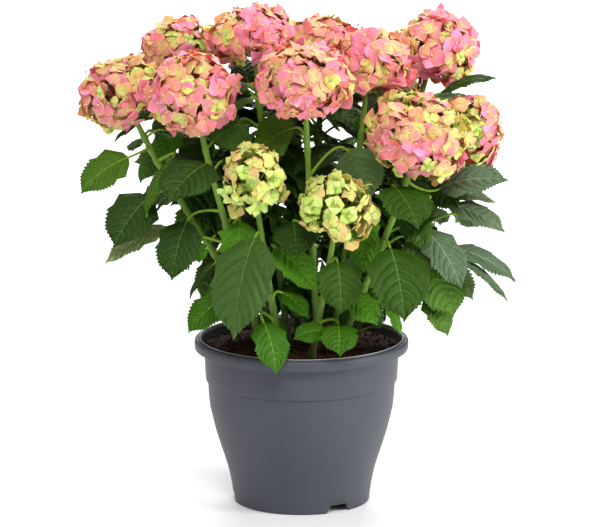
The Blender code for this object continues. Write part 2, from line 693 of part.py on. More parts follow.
def soil_profile():
    """section of the compost: its level top, and the pot's inner wall and floor, 0.3 mm clear"""
    (neck, neck_height), (rim, edge) = inner_wall()[0], (RIM_RADIUS - RIM_WIDTH, POT_HEIGHT - EDGE_DOWN)
    top = neck + (rim - neck) * (SOIL_TOP - neck_height) / (edge - neck_height)
    body = [(radius - SOIL_CLEAR, height) for radius, height in inner_wall()]
    floor = [(radius - SOIL_CLEAR, height + GAP) for radius, height in FLOOR_PROFILE[::-1]]
    return (0.0, SOIL_TOP), (top - SOIL_CLEAR, SOIL_TOP), *body, *floor, (0.0, WALL + GAP)


def notch_cutter(turn, group):
    """a block that narrows upwards, across the skirt at this turn"""
    spread = (NOTCH_WIDTH - NOTCH_TOP_WIDTH) * NOTCH_BELOW / NOTCH_HEIGHT
    shape = bmesh.new()
    bmesh.ops.create_cube(shape, size=1.0)
    for vert in shape.verts:
        width = NOTCH_TOP_WIDTH if vert.co.z > 0 else NOTCH_WIDTH + spread
        height = NOTCH_HEIGHT if vert.co.z > 0 else -NOTCH_BELOW
        vert.co = Vector((FOOT_RADIUS - WALL / 2 + vert.co.x * NOTCH_REACH, vert.co.y * width, height))
    bmesh.ops.rotate(shape, verts=shape.verts, matrix=Matrix.Rotation(math.radians(turn), 3, "Z"))
    cutter = bmesh_object("notch_cutter", shape, group)
    cutter.hide_render = True
    cutter.display_type = "WIRE"
    return cutter


def make_pot(plant, cutters):
    pot = turned_object("pot", pot_profile(), plant)
    for k in range(NOTCHES):
        cut = pot.modifiers.new(f"notch_{k + 1}", "BOOLEAN")
        cut.operation = "DIFFERENCE"
        cut.object = notch_cutter(NOTCH_TURN + 360 * k / NOTCHES, cutters)
    pot.data.materials.append(material("pot", "pot"))
    compost = turned_object("compost", soil_profile(), plant)
    compost.data.materials.append(material("compost", "compost"))


def cane_radius(shares):
    return np.interp(shares, (0, 1), (CANE_FOOT_RADIUS, CANE_TIP_RADIUS))


def cane_splits(name):
    """shares of the cane where its bare stretch and its leafy stretch end"""
    return share_at_height(name, CANES[name].leaves_from), share_at_bloom(name)


def make_bare_cane(name, plant):
    """from a flat cut on the compost, with a short flare, to where the leaves begin"""
    end, _ = cane_splits(name)
    shares = np.array((0.0, FLARE_SHARE * end, end))
    radii = cane_radius(shares) + np.array((FLARE, 0.0, 0.0))
    verts, faces = limb_solid(cane_points(name, shares), radii, CANE_SIDES, flat_foot=True)
    finish(mesh_object(f"cane_{name}", verts, faces, plant), "cane")


def make_foliage(name, leaves, plant, loose):
    """the leafy stem with its leaves fused on, each stalk rooted in the stem's middle"""
    start, end = cane_splits(name)
    shares = np.linspace(start + GAP / cane_length(name), end, 6)
    verts, faces = limb_solid(cane_points(name, shares), cane_radius(shares), STEM_SIDES)
    stem = mesh_object(f"foliage_{name}", verts, faces, plant)
    for leaf in leaves:
        if leaf["cane"] == name:
            verts, blade_faces, stalk_faces = leaf_solid(leaf)
            mesh_object("leaf", verts, blade_faces + stalk_faces, loose)
    fuse(stem, loose)
    finish(stem, "foliage")


def make_bloom(name, plant, loose):
    """a dense rounded core on the cane's last stretch, with florets that stand out of it"""
    cane = CANES[name]
    frame, size, places = florets(name)
    middle = Vector(cane.middle)
    shape = bmesh.new()
    stretch = Matrix.Diagonal((*(size * CORE_SHARE), 1.0))
    place = Matrix.Translation(middle) @ Matrix(frame.tolist()).to_4x4() @ stretch
    bmesh.ops.create_uvsphere(shape, u_segments=CORE_COLUMNS, v_segments=CORE_ROWS, radius=1.0, matrix=place)
    core = bmesh_object(f"bloom_{name}", shape, plant)
    shares = np.array((share_at_bloom(name) + BLOOM_GAP / cane_length(name), 1.0))
    mesh_object("peduncle", *limb_solid(cane_points(name, shares), cane_radius(shares), STEM_SIDES), loose)
    for direction, outward, spin in places:
        turned = Vector(outward).to_track_quat("Z", "Y").to_matrix() @ Matrix.Rotation(spin, 3, "Z")
        corners = np.array([turned @ Vector((FLORET_RADIUS * x, FLORET_RADIUS * y, 0))
                            for x, y in ((1, 0), (0, 1), (-1, 0), (0, -1))])
        corners = np.vstack((corners, outward * FLORET_RISE))
        share, lowest, step = FLORET_SHARES
        while share > lowest:
            local = (frame @ (direction * size) * share + corners) @ frame / size
            if np.linalg.norm(local, axis=1).max() <= BLOOM_REACH:
                break
            share -= step
        centre = frame @ (direction * size) * share
        floret = bmesh.new()
        bmesh.ops.create_uvsphere(floret, u_segments=4, v_segments=2, radius=1.0)
        for vert in floret.verts:
            depth = FLORET_RISE if vert.co.z > 0 else FLORET_ROOT
            local = Vector((vert.co.x * FLORET_RADIUS, vert.co.y * FLORET_RADIUS, vert.co.z * depth))
            vert.co = middle + Vector(centre) + turned @ local
        bmesh_object("floret", floret, loose)
    fuse(core, loose)
    finish(core, "bloom_green" if name.startswith("green") else "bloom_pink")


def main():
    clear_scene()
    plant = new_collection("hydrangea_shrub")
    cutters = new_collection("cutters")
    loose = new_collection("loose")
    make_pot(plant, cutters)
    leaves = grow_leaves()
    for name in CANES:
        make_bare_cane(name, plant)
        make_foliage(name, leaves, plant, loose)
        make_bloom(name, plant, loose)
    bpy.data.collections.remove(loose)


main()
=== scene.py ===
"""A potted hydrangea shrub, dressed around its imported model.

The crown grows by the same rule as the solids: canes, placed leaves, then leaves wherever there is
room. Each leaf is carried to its toothed margin, quilted blade and veins, and each bloom to its single
florets. Metres, +Z up, the origin in the middle of the pot's underside, -Y to the front.
"""

import math
from collections import namedtuple

import bpy
import numpy as np
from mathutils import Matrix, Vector
from mathutils.bvhtree import BVHTree


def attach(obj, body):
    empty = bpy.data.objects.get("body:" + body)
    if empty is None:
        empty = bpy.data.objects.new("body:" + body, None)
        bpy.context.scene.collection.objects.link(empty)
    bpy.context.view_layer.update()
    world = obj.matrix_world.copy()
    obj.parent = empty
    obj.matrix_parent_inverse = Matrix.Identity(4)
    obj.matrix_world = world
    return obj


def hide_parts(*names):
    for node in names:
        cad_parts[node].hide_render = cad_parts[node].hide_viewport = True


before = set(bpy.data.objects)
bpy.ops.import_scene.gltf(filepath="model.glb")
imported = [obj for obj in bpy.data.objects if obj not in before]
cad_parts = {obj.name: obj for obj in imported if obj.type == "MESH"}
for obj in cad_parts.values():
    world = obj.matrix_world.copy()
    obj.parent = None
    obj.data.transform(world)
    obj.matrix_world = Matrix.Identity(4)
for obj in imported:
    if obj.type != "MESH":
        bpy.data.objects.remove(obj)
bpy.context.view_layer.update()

GAP = 0.0003  # between pieces that touch
SEED = 11
UP = np.array((0.0, 0.0, 1.0))

# ---- pot: a nursery pot with a folded rim, a stepped neck and a skirt round a raised ring
POT_HEIGHT = 0.224
FOOT_RADIUS = 0.092
WALL = 0.0026
RING_HEIGHT = 0.012
HUB_RADIUS = 0.069

NOTCHES = 3
NOTCH_TURN = 303  # degrees round from +X to the first drainage notch
NOTCH_WIDTH = 0.037
NOTCH_TOP_WIDTH = 0.023
NOTCH_HEIGHT = 0.0105

SOIL_TOP = 0.212

# ---- canes
Cane = namedtuple("Cane", "foot middle half_width half_height leaves_from")

# foot on the compost, middle of the bloom, half the bloom's width and height, height where leaves begin
CANES = {
    "far_left": Cane((-0.038, -0.010), (-0.237, -0.020, 0.561), 0.066, 0.054, 0.250),
    "left_front": Cane((-0.052, -0.045), (-0.142, -0.110, 0.576), 0.062, 0.062, 0.262),
    "left_back": Cane((-0.040, 0.030), (-0.167, 0.085, 0.603), 0.057, 0.046, 0.262),
    "top_left": Cane((-0.018, 0.005), (-0.065, 0.010, 0.634), 0.065, 0.045, 0.300),
    "front": Cane((0.022, -0.025), (0.004, -0.120, 0.596), 0.068, 0.051, 0.262),
    "top_back": Cane((0.005, 0.040), (0.030, 0.125, 0.602), 0.052, 0.044, 0.270),
    "centre": Cane((0.042, -0.012), (0.090, -0.010, 0.601), 0.057, 0.051, 0.262),
    "right_top": Cane((0.048, 0.032), (0.179, 0.095, 0.600), 0.067, 0.057, 0.270),
    "right_front": Cane((0.050, -0.040), (0.156, -0.100, 0.518), 0.074, 0.062, 0.246),
    "far_right": Cane((0.062, 0.005), (0.221, 0.010, 0.502), 0.054, 0.055, 0.262),
    "green_left": Cane((-0.028, -0.058), (-0.062, -0.130, 0.467), 0.046, 0.050, 0.240),
    "green_right": Cane((0.014, -0.062), (0.047, -0.140, 0.430), 0.054, 0.050, 0.240),
    "back_left": Cane((-0.035, 0.056), (-0.140, 0.165, 0.520), 0.056, 0.050, 0.258),
    "back": Cane((-0.005, 0.070), (-0.015, 0.215, 0.545), 0.058, 0.052, 0.258),
    "back_right": Cane((0.038, 0.058), (0.118, 0.205, 0.552), 0.058, 0.052, 0.258),
}

CANE_FOOT_RADIUS = 0.0048
CANE_TIP_RADIUS = 0.0036
FLARE = 0.0020  # how much wider the cane is where it leaves the compost
FLARE_RUN = 0.03  # of the cane's length, over which the flare fades
STEM_SIDES = 5
FIRST_SIDE = (0.3, 0.9, 0.1)  # where the first corner of a limb's section points
CANE_INTO_BLOOM = 0.55  # half heights of the bloom, from its middle down to the cane's tip
CANE_PULLS = (0.36, 0.30)  # of the cane's length, how strongly its foot and its tip steer its curve
UPRIGHT = 0.25  # how much a bloom straightens up from its cane's lean
BLOOM_CLEAR = 1.12  # the leafy stem ends at this many bloom radii from the bloom's middle
STALK_RADIUS = 0.0018
STALK_STEPS = 4
STALK_BEND = 0.45  # of the stalk's length, how far it runs on straight behind the blade

# ---- leaves
# Cane, height of its node, stalk (length, heading, rise), blade (length, width) and blade (heading, droop,
# roll); headings run anticlockwise from +X, and angles are in degrees.
PLACED_LEAVES = (
    ("far_left", 0.489, (0.046, 235, -8), (0.084, 0.049), (206, 32, -45)),
    ("far_left", 0.470, (0.045, 300, 15), (0.092, 0.054), (228, 55, 30)),
    ("far_left", 0.422, (0.056, 230, 8), (0.088, 0.069), (220, 45, -30)),
    ("far_left", 0.385, (0.045, 215, 0), (0.098, 0.047), (195, 29, -18)),
    ("far_left", 0.375, (0.035, 180, 10), (0.062, 0.046), (185, 30, 5)),
    ("left_back", 0.440, (0.025, 250, 20), (0.080, 0.054), (240, 65, -10)),
    ("left_back", 0.400, (0.030, 230, 20), (0.080, 0.056), (215, 40, -30)),
    ("left_front", 0.482, (0.025, 275, 10), (0.095, 0.075), (245, 25, -15)),
    ("left_front", 0.415, (0.052, 206, -10), (0.084, 0.062), (240, 62, -10)),
    ("far_left", 0.312, (0.032, 220, 40), (0.060, 0.030), (204, 52, 40)),
    ("left_front", 0.366, (0.050, 182, 8), (0.036, 0.028), (285, 45, 0)),
    ("left_front", 0.300, (0.022, 210, 0), (0.080, 0.046), (203, 38, -40)),
    ("left_back", 0.480, (0.042, 200, 10), (0.080, 0.052), (204, 48, -15)),
    ("left_back", 0.505, (0.040, 235, -10), (0.060, 0.050), (205, 45, -15)),
    ("green_left", 0.372, (0.045, 255, 27), (0.140, 0.094), (239, 67, 0)),
    ("front", 0.335, (0.060, 195, 28), (0.084, 0.058), (330, 42, 20)),
    ("green_left", 0.280, (0.036, 300, 50), (0.050, 0.042), (337, 40, 10)),
    ("green_left", 0.262, (0.070, 257, 12), (0.072, 0.054), (303, 64, 0)),
    ("green_right", 0.335, (0.036, 298, 40), (0.072, 0.062), (281, 66, 0)),
    ("green_right", 0.262, (0.054, 300, 10), (0.058, 0.050), (273, 35, 0)),
    ("green_right", 0.252, (0.058, 282, 12), (0.046, 0.036), (194, 12, -35)),
    ("front", 0.285, (0.058, 316, 15), (0.066, 0.046), (318, 30, 20)),
    ("front", 0.505, (0.032, 145, 45), (0.082, 0.072), (165, 36, -55)),
    ("front", 0.385, (0.030, 200, 30), (0.066, 0.062), (275, 35, 0)),
    ("left_front", 0.385, (0.034, 310, 35), (0.072, 0.052), (275, 60, 0)),
    ("right_front", 0.372, (0.046, 280, 0), (0.104, 0.086), (290, 60, 0)),
    ("right_front", 0.440, (0.035, 245, 25), (0.084, 0.074), (290, 32, 0)),
    ("centre", 0.400, (0.050, 295, 5), (0.080, 0.046), (284, 65, 20)),
    ("right_front", 0.385, (0.052, 10, 0), (0.094, 0.058), (325, 52, 20)),
    ("far_right", 0.348, (0.055, 300, -25), (0.078, 0.078), (312, 46, 10)),
    ("far_right", 0.300, (0.076, 316, -8), (0.062, 0.044), (318, 52, 10)),
    ("far_right", 0.421, (0.044, 293, -12), (0.082, 0.048), (345, 24, 20)),
    ("far_right", 0.438, (0.025, 260, -40), (0.074, 0.045), (350, 15, 5)),
    ("far_right", 0.375, (0.056, 328, -25), (0.100, 0.054), (354, 27, 14)),
    ("far_right", 0.362, (0.060, 318, -15), (0.108, 0.034), (338, 34, -5)),
    ("right_front", 0.458, (0.048, 20, -18), (0.096, 0.058), (350, -9, 32)),
    ("right_front", 0.430, (0.040, 345, 5), (0.070, 0.050), (228, 48, 0)),
    ("right_front", 0.400, (0.034, 30, 20), (0.060, 0.040), (290, 62, 0)),
    ("right_top", 0.532, (0.066, 300, 20), (0.080, 0.044), (352, -16, 10)),
    ("centre", 0.480, (0.030, 220, 15), (0.078, 0.050), (206, 20, -20)),
    ("top_left", 0.560, (0.022, 130, 20), (0.060, 0.044), (105, -28, 0)),
    ("right_front", 0.276, (0.044, 335, 10), (0.044, 0.032), (335, 60, 0)),
)

LEAF_ARCH = math.radians(35)  # how far the midrib bends from base to tip
LEAF_FOLD = 0.12
LEAF_CURL = 0.10
LEAF_THICKNESS = 0.0011  # above and below the midrib; nothing at the rim
LEAF_THICKNESS_SHARE = 1 / 110
OUTLINE_POWERS = (0.55, 0.85)  # how bluntly the blade's outline starts and ends
CLEARANCE = 0.0012  # kept round each leaf
CLEARANCE_ACROSS = 12  # of the blade's half width, for each metre of clearance
CANE_SPACE = 0.0058  # the radius round a cane, and the depth round a bloom, that leaves keep out of
BLOOM_SPACE = 0.003
RIM_SPACE = ((0.139, 0.209), (0.139, 0.2265), (0.1475, 0.2265), (0.1475, 0.205))  # and round the pot's rim
SOIL_SPACE = (0.139, 0.215)  # radius and height of the disc over the compost that they stay above

# The rule by which leaves grow up a cane: angles in degrees, and how far each value sways by chance.
NODE_SPACING = 0.036
HIGHEST_NODE = 0.02  # below the bloom, as a share of the cane
LOWEST_NODE = 0.004  # above the end of the bare stretch
GOLDEN_TURN = 137.5
LEAF_LENGTH, LENGTH_SWAY = 0.108, 0.016
LEAF_WIDTH = 0.64  # of its length
LEAF_SIZES = (1.0, 0.78, 0.6)  # tried in turn
STALK_LENGTH, STALK_SWAY = 0.034, 0.008
STALK_RISE = 30
HEADING_SWAY = 15
ROLL_SWAY = 15
TOP_DROOP, DROOP_PER_PAIR, DROOP_SWAY = 18, 7, 12

# How far from the pot's axis a leaf tip may reach, at each height.
SPACE_HEIGHTS = (0.225, 0.30, 0.40, 0.50)
SPACE_RADII = (0.13, 0.165, 0.23, 0.27)
SPACE_FRONT = -0.030
SPACE_FLOOR = 0.235

# Openings through the crown, along lines that dip towards the back: where each crosses the upright plane
# through the pot's axis, as (x, height), and its half width and half height.
OPENING_DIP = math.radians(12.2)
OPENINGS = (
    (0.047, 0.507, 0.0175, 0.0125), (0.008, 0.496, 0.0095, 0.0070), (0.054, 0.470, 0.0080, 0.0055),
    (-0.229, 0.494, 0.0230, 0.0165), (-0.218, 0.433, 0.0150, 0.0100), (-0.227, 0.452, 0.0095, 0.0140),
    (-0.185, 0.398, 0.0175, 0.0150), (-0.134, 0.328, 0.0080, 0.0125), (-0.127, 0.305, 0.0055, 0.0085),
    (-0.113, 0.336, 0.0040, 0.0055), (0.026, 0.328, 0.0055, 0.0040), (-0.169, 0.489, 0.0080, 0.0040),
)

# Turns and extra droops, in degrees, that a leaf tries before it is given up.
SMALL_TURNS = (
    (0, 0), (6, 0), (-6, 0), (0, 8), (0, -8), (8, 8), (-8, 8), (12, 0), (-12, 0), (8, -8), (-8, -8),
    (0, 15), (16, 8), (-16, 8), (0, -15),
)
WIDE_TURNS = (
    (0, 0), (15, 0), (-15, 0), (0, 14), (30, 6), (-30, 6), (0, -14), (45, 10), (-45, 10), (60, 0), (-60, 0),
)


# ---------------------------------------------------------------- the plant's rule

def unit(vector):
    return vector / np.linalg.norm(vector)


def heading(degrees):
    angle = math.radians(degrees)
    return np.array((math.cos(angle), math.sin(angle), 0.0))


def bloom_axis(cane):
    """up along the cane's lean, and a little more upright"""
    foot = np.array((*cane.foot, SOIL_TOP))
    return unit(unit(np.array(cane.middle) - foot) + UPRIGHT * UP)


def cane_points(name, shares):
    """points of the cane at shares of the way from the compost into the bloom: a cubic curve that
    sets off straight at the bloom and arrives along the bloom's axis"""
    cane = CANES[name]
    foot = np.array((*cane.foot, SOIL_TOP + GAP))
    middle = np.array(cane.middle)
    axis = bloom_axis(cane)
    tip = middle - axis * cane.half_height * CANE_INTO_BLOOM
    length = np.linalg.norm(tip - foot)
    second = foot + unit(middle - foot) * length * CANE_PULLS[0]
    third = tip - axis * length * CANE_PULLS[1]
    t = np.asarray(shares, float)[:, None]
    near = (1 - t) ** 3 * foot + 3 * (1 - t) ** 2 * t * second
    return near + 3 * (1 - t) * t ** 2 * third + t ** 3 * tip


def share_at_height(name, height):
    shares = np.linspace(0, 1, 401)
    return float(np.interp(height, cane_points(name, shares)[:, 2], shares))


def share_at_bloom(name):
    """where the cane comes within BLOOM_CLEAR bloom radii of the bloom's middle"""
    cane = CANES[name]
    shares = np.linspace(0.5, 1, 201)
    offsets = cane_points(name, shares) - np.array(cane.middle)
    along = offsets @ bloom_axis(cane)
    across = np.linalg.norm(offsets - along[:, None] * bloom_axis(cane), axis=1)
    reach = np.hypot(along / cane.half_height, across / cane.half_width)
    return float(np.interp(-BLOOM_CLEAR, -reach, shares))


def make_leaf(cane, height, stalk, size, blade_angles):
    """a leaf as a record of its place: the node on its cane, the blade's base and how the blade hangs"""
    stalk_length, stalk_heading, rise = stalk
    blade_heading, droop, roll = blade_angles
    node = cane_points(cane, [share_at_height(cane, height)])[0]
    rise = math.radians(rise)
    way = math.cos(rise) * heading(stalk_heading) + math.sin(rise) * UP
    return {
        "cane": cane, "node": node, "base": node + stalk_length * way, "heading": blade_heading,
        "droop": math.radians(droop), "roll": math.radians(roll), "length": size[0], "width": size[1],
    }


def outline(along):
    """share of the blade's greatest half width: broad before the middle, drawn out to the tip"""
    first, last = OUTLINE_POWERS
    peak = first / (first + last)
    along = np.clip(along, 0, 1)
    return (along / peak) ** first * ((1 - along) / (1 - peak)) ** last


def blade(leaf, along, across, lift=0.0):
    """points of a blade: its midrib is an arc that bends down by LEAF_ARCH, and the two halves rise
    from it in a shallow fold that curls over at the margin"""
    along, across = np.broadcast_arrays(np.asarray(along, float), np.asarray(across, float))
    angle = leaf["droop"] + LEAF_ARCH * (along - 0.5)
    first = leaf["droop"] - 0.5 * LEAF_ARCH
    ahead = heading(leaf["heading"])
    side = np.cross(UP, ahead)
    run = leaf["length"] * (np.sin(angle) - math.sin(first)) / LEAF_ARCH
    fall = leaf["length"] * (np.cos(angle) - math.cos(first)) / LEAF_ARCH
    spine = leaf["base"] + run[..., None] * ahead + fall[..., None] * UP
    normal = np.cos(angle)[..., None] * UP + np.sin(angle)[..., None] * ahead
    turn, tilt = math.cos(leaf["roll"]), math.sin(leaf["roll"])
    sideways = side * turn + normal * tilt
    face = normal * turn - side * tilt
    half = 0.5 * leaf["width"] * outline(along)
    height = half * (LEAF_FOLD * np.abs(across) - LEAF_CURL * across ** 2) + lift
    return spine + (half * across)[..., None] * sideways + height[..., None] * face


def stalk_path(leaf, steps):
    """from the blade's base back in a bend to the middle of the cane at its node"""
    inner = blade(leaf, np.array([0.06]), np.array([0.0]))[0]
    length = np.linalg.norm(leaf["base"] - leaf["node"])
    bend = leaf["base"] - unit(inner - leaf["base"]) * length * STALK_BEND
    t = np.linspace(0, 1, steps)[:, None]
    return (1 - t) ** 2 * leaf["base"] + 2 * (1 - t) * t * bend + t ** 2 * leaf["node"]


def rings(points, radii, sides, side):
    """rings of corners carried along a path, the first corner of each kept towards side"""
    ways = np.gradient(points, axis=0)
    angles = np.arange(sides) * 2 * math.pi / sides
    made = []
    for point, way, radius in zip(points, ways, np.broadcast_to(radii, len(points))):
        way = unit(way)
        side = unit(side - way * (side @ way))
        across = np.outer(np.cos(angles), side) + np.outer(np.sin(angles), np.cross(way, side))
        made.append(point + radius * across)
    return np.vstack(made)


def walls(count, sides, first=0):
    """the faces between so many rings of corners, counted from corner number first"""
    faces = []
    for start in range(first, first + (count - 1) * sides, sides):
        for k in range(sides):
            n = (k + 1) % sides
            faces.append((start + k, start + n, start + sides + n, start + sides + k))
    return faces


def limb_solid(points, radii, sides):
    """a limb of so many sides with closed ends"""
    verts = rings(points, radii, sides, np.array(FIRST_SIDE))
    last = len(verts) - sides
    ends = [tuple(range(sides)), tuple(range(last, last + sides))]
    return verts, walls(len(points), sides) + ends


def leaf_solid(leaf, extra=0.0):
    """a leaf as one closed solid: a blade with a rim of seven corners and two corners above and two
    below its midrib, and a three-sided stalk that opens into the blade's base.
    Returns its corners, the blade's faces and the stalk's faces."""
    thick = max(LEAF_THICKNESS, leaf["length"] * LEAF_THICKNESS_SHARE) + extra
    rim_along = np.array((0.16, 0.44, 0.76, 1.0, 0.76, 0.44, 0.16))
    rim_across = np.array((1, 1, 1, 0, -1, -1, -1)) * (1 + extra * CLEARANCE_ACROSS)
    middle = np.array((0.3, 0.64))
    corners = np.vstack((
        blade(leaf, rim_along, rim_across),
        blade(leaf, middle, np.zeros(2), thick),
        blade(leaf, middle, np.zeros(2), -thick),
    ))
    faces = []
    for near, far in ((7, 8), (9, 10)):
        faces += [(1, 0, near), (far, 1, near), (2, 1, far), (3, 2, far), (4, 3, far), (5, 4, far),
                  (near, 5, far), (6, 5, near)]
    top, left, right = 11, 12, 13
    faces += [(7, 0, top), (7, top, 6), (0, left, top), (top, right, 6), (0, 9, left), (left, 9, right),
              (right, 9, 6)]
    face_up = np.cross(corners[3] - leaf["base"], corners[0] - corners[6])
    stalk = rings(stalk_path(leaf, STALK_STEPS), STALK_RADIUS + extra, 3, face_up)
    end = top + len(stalk) - 3
    return np.vstack((corners, stalk)), faces, walls(STALK_STEPS, 3, top) + [(end, end + 1, end + 2)]


def bloom_frame(cane):
    """the bloom's own axes, as columns: across, across and up"""
    axis = bloom_axis(cane)
    across = unit(np.cross(axis, (0.2, 1.0, 0.0)))
    return np.column_stack((across, np.cross(axis, across), axis))


def bloom_hull(cane, grow):
    """a coarse closed shell round the bloom, for keeping leaves out of it"""
    rows, columns = 8, 14
    size = np.array((cane.half_width, cane.half_width, cane.half_height)) + grow
    polar = np.repeat(np.arange(1, rows) * math.pi / rows, columns)
    round_ = np.tile(np.arange(columns) * 2 * math.pi / columns, rows - 1)
    ring = np.column_stack((np.sin(polar) * np.cos(round_), np.sin(polar) * np.sin(round_), -np.cos(polar)))
    local = np.vstack(((0, 0, -1), ring, (0, 0, 1))) * size
    verts = np.array(cane.middle) + local @ bloom_frame(cane).T
    last = len(verts) - 1
    faces = []
    for k in range(columns):
        n = (k + 1) % columns
        faces.append((0, 1 + n, 1 + k))
        for row in range(rows - 2):
            start = 1 + row * columns
            faces.append((start + k, start + n, start + columns + n, start + columns + k))
        start = 1 + (rows - 2) * columns
        faces.append((start + k, start + n, last))
    return verts, faces


def tree_of(verts, faces):
    return BVHTree.FromPolygons([tuple(v) for v in verts], faces)


def pot_and_soil_trees():
    """the ring round the rim and the disc over the compost that leaves keep out of"""
    corners = 24
    ring = [heading(360 * k / corners) for k in range(corners)]
    rim = np.array([p * radius + UP * height for radius, height in RIM_SPACE for p in ring])
    faces = []
    for k in range(len(RIM_SPACE)):
        for j in range(corners):
            n = (j + 1) % corners
            other = (k + 1) % len(RIM_SPACE)
            faces.append((k * corners + j, k * corners + n, other * corners + n, other * corners + j))
    disc = np.array([p * SOIL_SPACE[0] + UP * SOIL_SPACE[1] for p in ring])
    return tree_of(rim, faces), tree_of(disc, [tuple(range(corners))])


def opening_lines():
    """a point in front of the crown on each line through an opening's middle and its four sides, and the
    way all of them run"""
    way = np.array((0.0, math.cos(OPENING_DIP), -math.sin(OPENING_DIP)))
    starts = []
    for x, height, wide, high in OPENINGS:
        for across, up in ((0, 0), (wide, 0), (-wide, 0), (0, high), (0, -high)):
            starts.append(np.array((x + across, 0.0, height + up)) - way)
    return starts, way


def leaf_space(height):
    return np.interp(height, SPACE_HEIGHTS, SPACE_RADII)


def in_space(leaf):
    """true where a leaf keeps behind the front, above the pot and inside the crown"""
    base, middle, tip = blade(leaf, np.array([0.0, 0.5, 1.0]), np.zeros(3))
    if middle[1] < SPACE_FRONT or min(base[2], middle[2], tip[2]) < SPACE_FLOOR:
        return False
    return np.hypot(tip[0], tip[1]) <= leaf_space(tip[2])


class Crown:
    """the leaves accepted so far, and what they must keep clear of"""

    def __init__(self):
        self.leaves = []
        self.trees = []
        self.openings, self.way = opening_lines()
        self.fixed = [("", tree) for tree in pot_and_soil_trees()]
        for name, cane in CANES.items():
            limb = limb_solid(cane_points(name, np.linspace(0, 1, 9)), CANE_SPACE, STEM_SIDES)
            self.fixed.append((name, tree_of(*limb)))
            self.fixed.append(("", tree_of(*bloom_hull(cane, BLOOM_SPACE))))

    def leaves_openings(self, blade_tree):
        return all(blade_tree.ray_cast(start, self.way)[0] is None for start in self.openings)

    def is_clear(self, leaf, blade_tree, stalk_tree):
        for owner, tree in self.fixed:
            if blade_tree.overlap(tree):
                return False
            if owner != leaf["cane"] and stalk_tree.overlap(tree):
                return False
        for other, (other_blade, other_stalk) in zip(self.leaves, self.trees):
            if blade_tree.overlap(other_blade) or stalk_tree.overlap(other_blade):
                return False
            if blade_tree.overlap(other_stalk):
                return False
            if other["pair"] != leaf["pair"] and stalk_tree.overlap(other_stalk):
                return False
        return True

    def settle(self, pair, turns, row, free):
        """adds the leaf of a row at the first of the turns where it touches nothing; unless it is free,
        it also keeps inside the crown and leaves the openings open"""
        cane, height, (stalk_length, stalk_heading, rise), size, (blade_heading, droop, roll) = row
        for turn, drop in turns:
            stalk = (stalk_length, stalk_heading + turn * 0.6, rise)
            leaf = make_leaf(cane, height, stalk, size, (blade_heading + turn, droop + drop, roll))
            leaf["pair"] = pair
            if not free and not in_space(leaf):
                continue
            verts, blade_faces, stalk_faces = leaf_solid(leaf, CLEARANCE)
            blade_tree = tree_of(verts, blade_faces)
            if not free and not self.leaves_openings(blade_tree):
                continue
            stalk_tree = tree_of(verts, stalk_faces[:-4])
            if self.is_clear(leaf, blade_tree, stalk_tree):
                self.leaves.append(leaf)
                self.trees.append((blade_tree, stalk_tree))
                return True
        return False


def grow_leaves(crown):
    """the placed leaves first, then pairs of leaves up every cane, each pair at right angles to the
    one below it, wherever there is room"""
    for index, row in enumerate(PLACED_LEAVES):
        crown.settle(("placed", index), SMALL_TURNS, row, True)
    chance = np.random.default_rng(SEED)
    for index, (name, cane) in enumerate(CANES.items()):
        highest = cane_points(name, [share_at_bloom(name) - HIGHEST_NODE])[0][2]
        for step, height in enumerate(np.arange(highest, cane.leaves_from + LOWEST_NODE, -NODE_SPACING)):
            for half in (0, 180):
                sway = chance.uniform(-1, 1, 5)
                way = GOLDEN_TURN * index + 90 * step + half + HEADING_SWAY * sway[0]
                length = LEAF_LENGTH + LENGTH_SWAY * sway[1]
                droop = TOP_DROOP + DROOP_PER_PAIR * step + DROOP_SWAY * sway[2]
                stalk = (STALK_LENGTH + STALK_SWAY * sway[3], way, STALK_RISE)
                for size in LEAF_SIZES:
                    blade_size = (length * size, length * size * LEAF_WIDTH)
                    row = (name, height, stalk, blade_size, (way, droop, ROLL_SWAY * sway[4]))
                    if crown.settle((name, step), WIDE_TURNS, row, False):
                        break


# ---------------------------------------------------------------- meshes from arrays

def smooth_step(low, high, x):
    t = np.clip((x - low) / (high - low), 0, 1)
    return t * t * (3 - 2 * t)


def grid_faces(rows, columns, closed=False):
    """two triangles for each cell of a grid of points, row by row; closed joins the last column to the
    first"""
    row, column = np.meshgrid(np.arange(rows - 1), np.arange(columns - (not closed)), indexing="ij")
    after = (column + 1) % columns
    a, b = row * columns + column, row * columns + after
    c, d = a + columns, b + columns
    return np.stack((np.stack((a, b, d), -1), np.stack((a, d, c), -1)), 2).reshape(-1, 3)


def capped(grid, first, last):
    """the corners and triangles of a grid of closed rings, drawn to a point at each end"""
    rows, sides = grid.shape[:2]
    k = np.arange(sides)
    n = (k + 1) % sides
    end = (rows - 1) * sides
    start_fan = np.column_stack((np.full(sides, rows * sides), n, k))
    end_fan = np.column_stack((np.full(sides, rows * sides + 1), end + k, end + n))
    corners = np.vstack((grid.reshape(-1, 3), first, last))
    return corners, np.vstack((grid_faces(rows, sides, True), start_fan, end_fan))


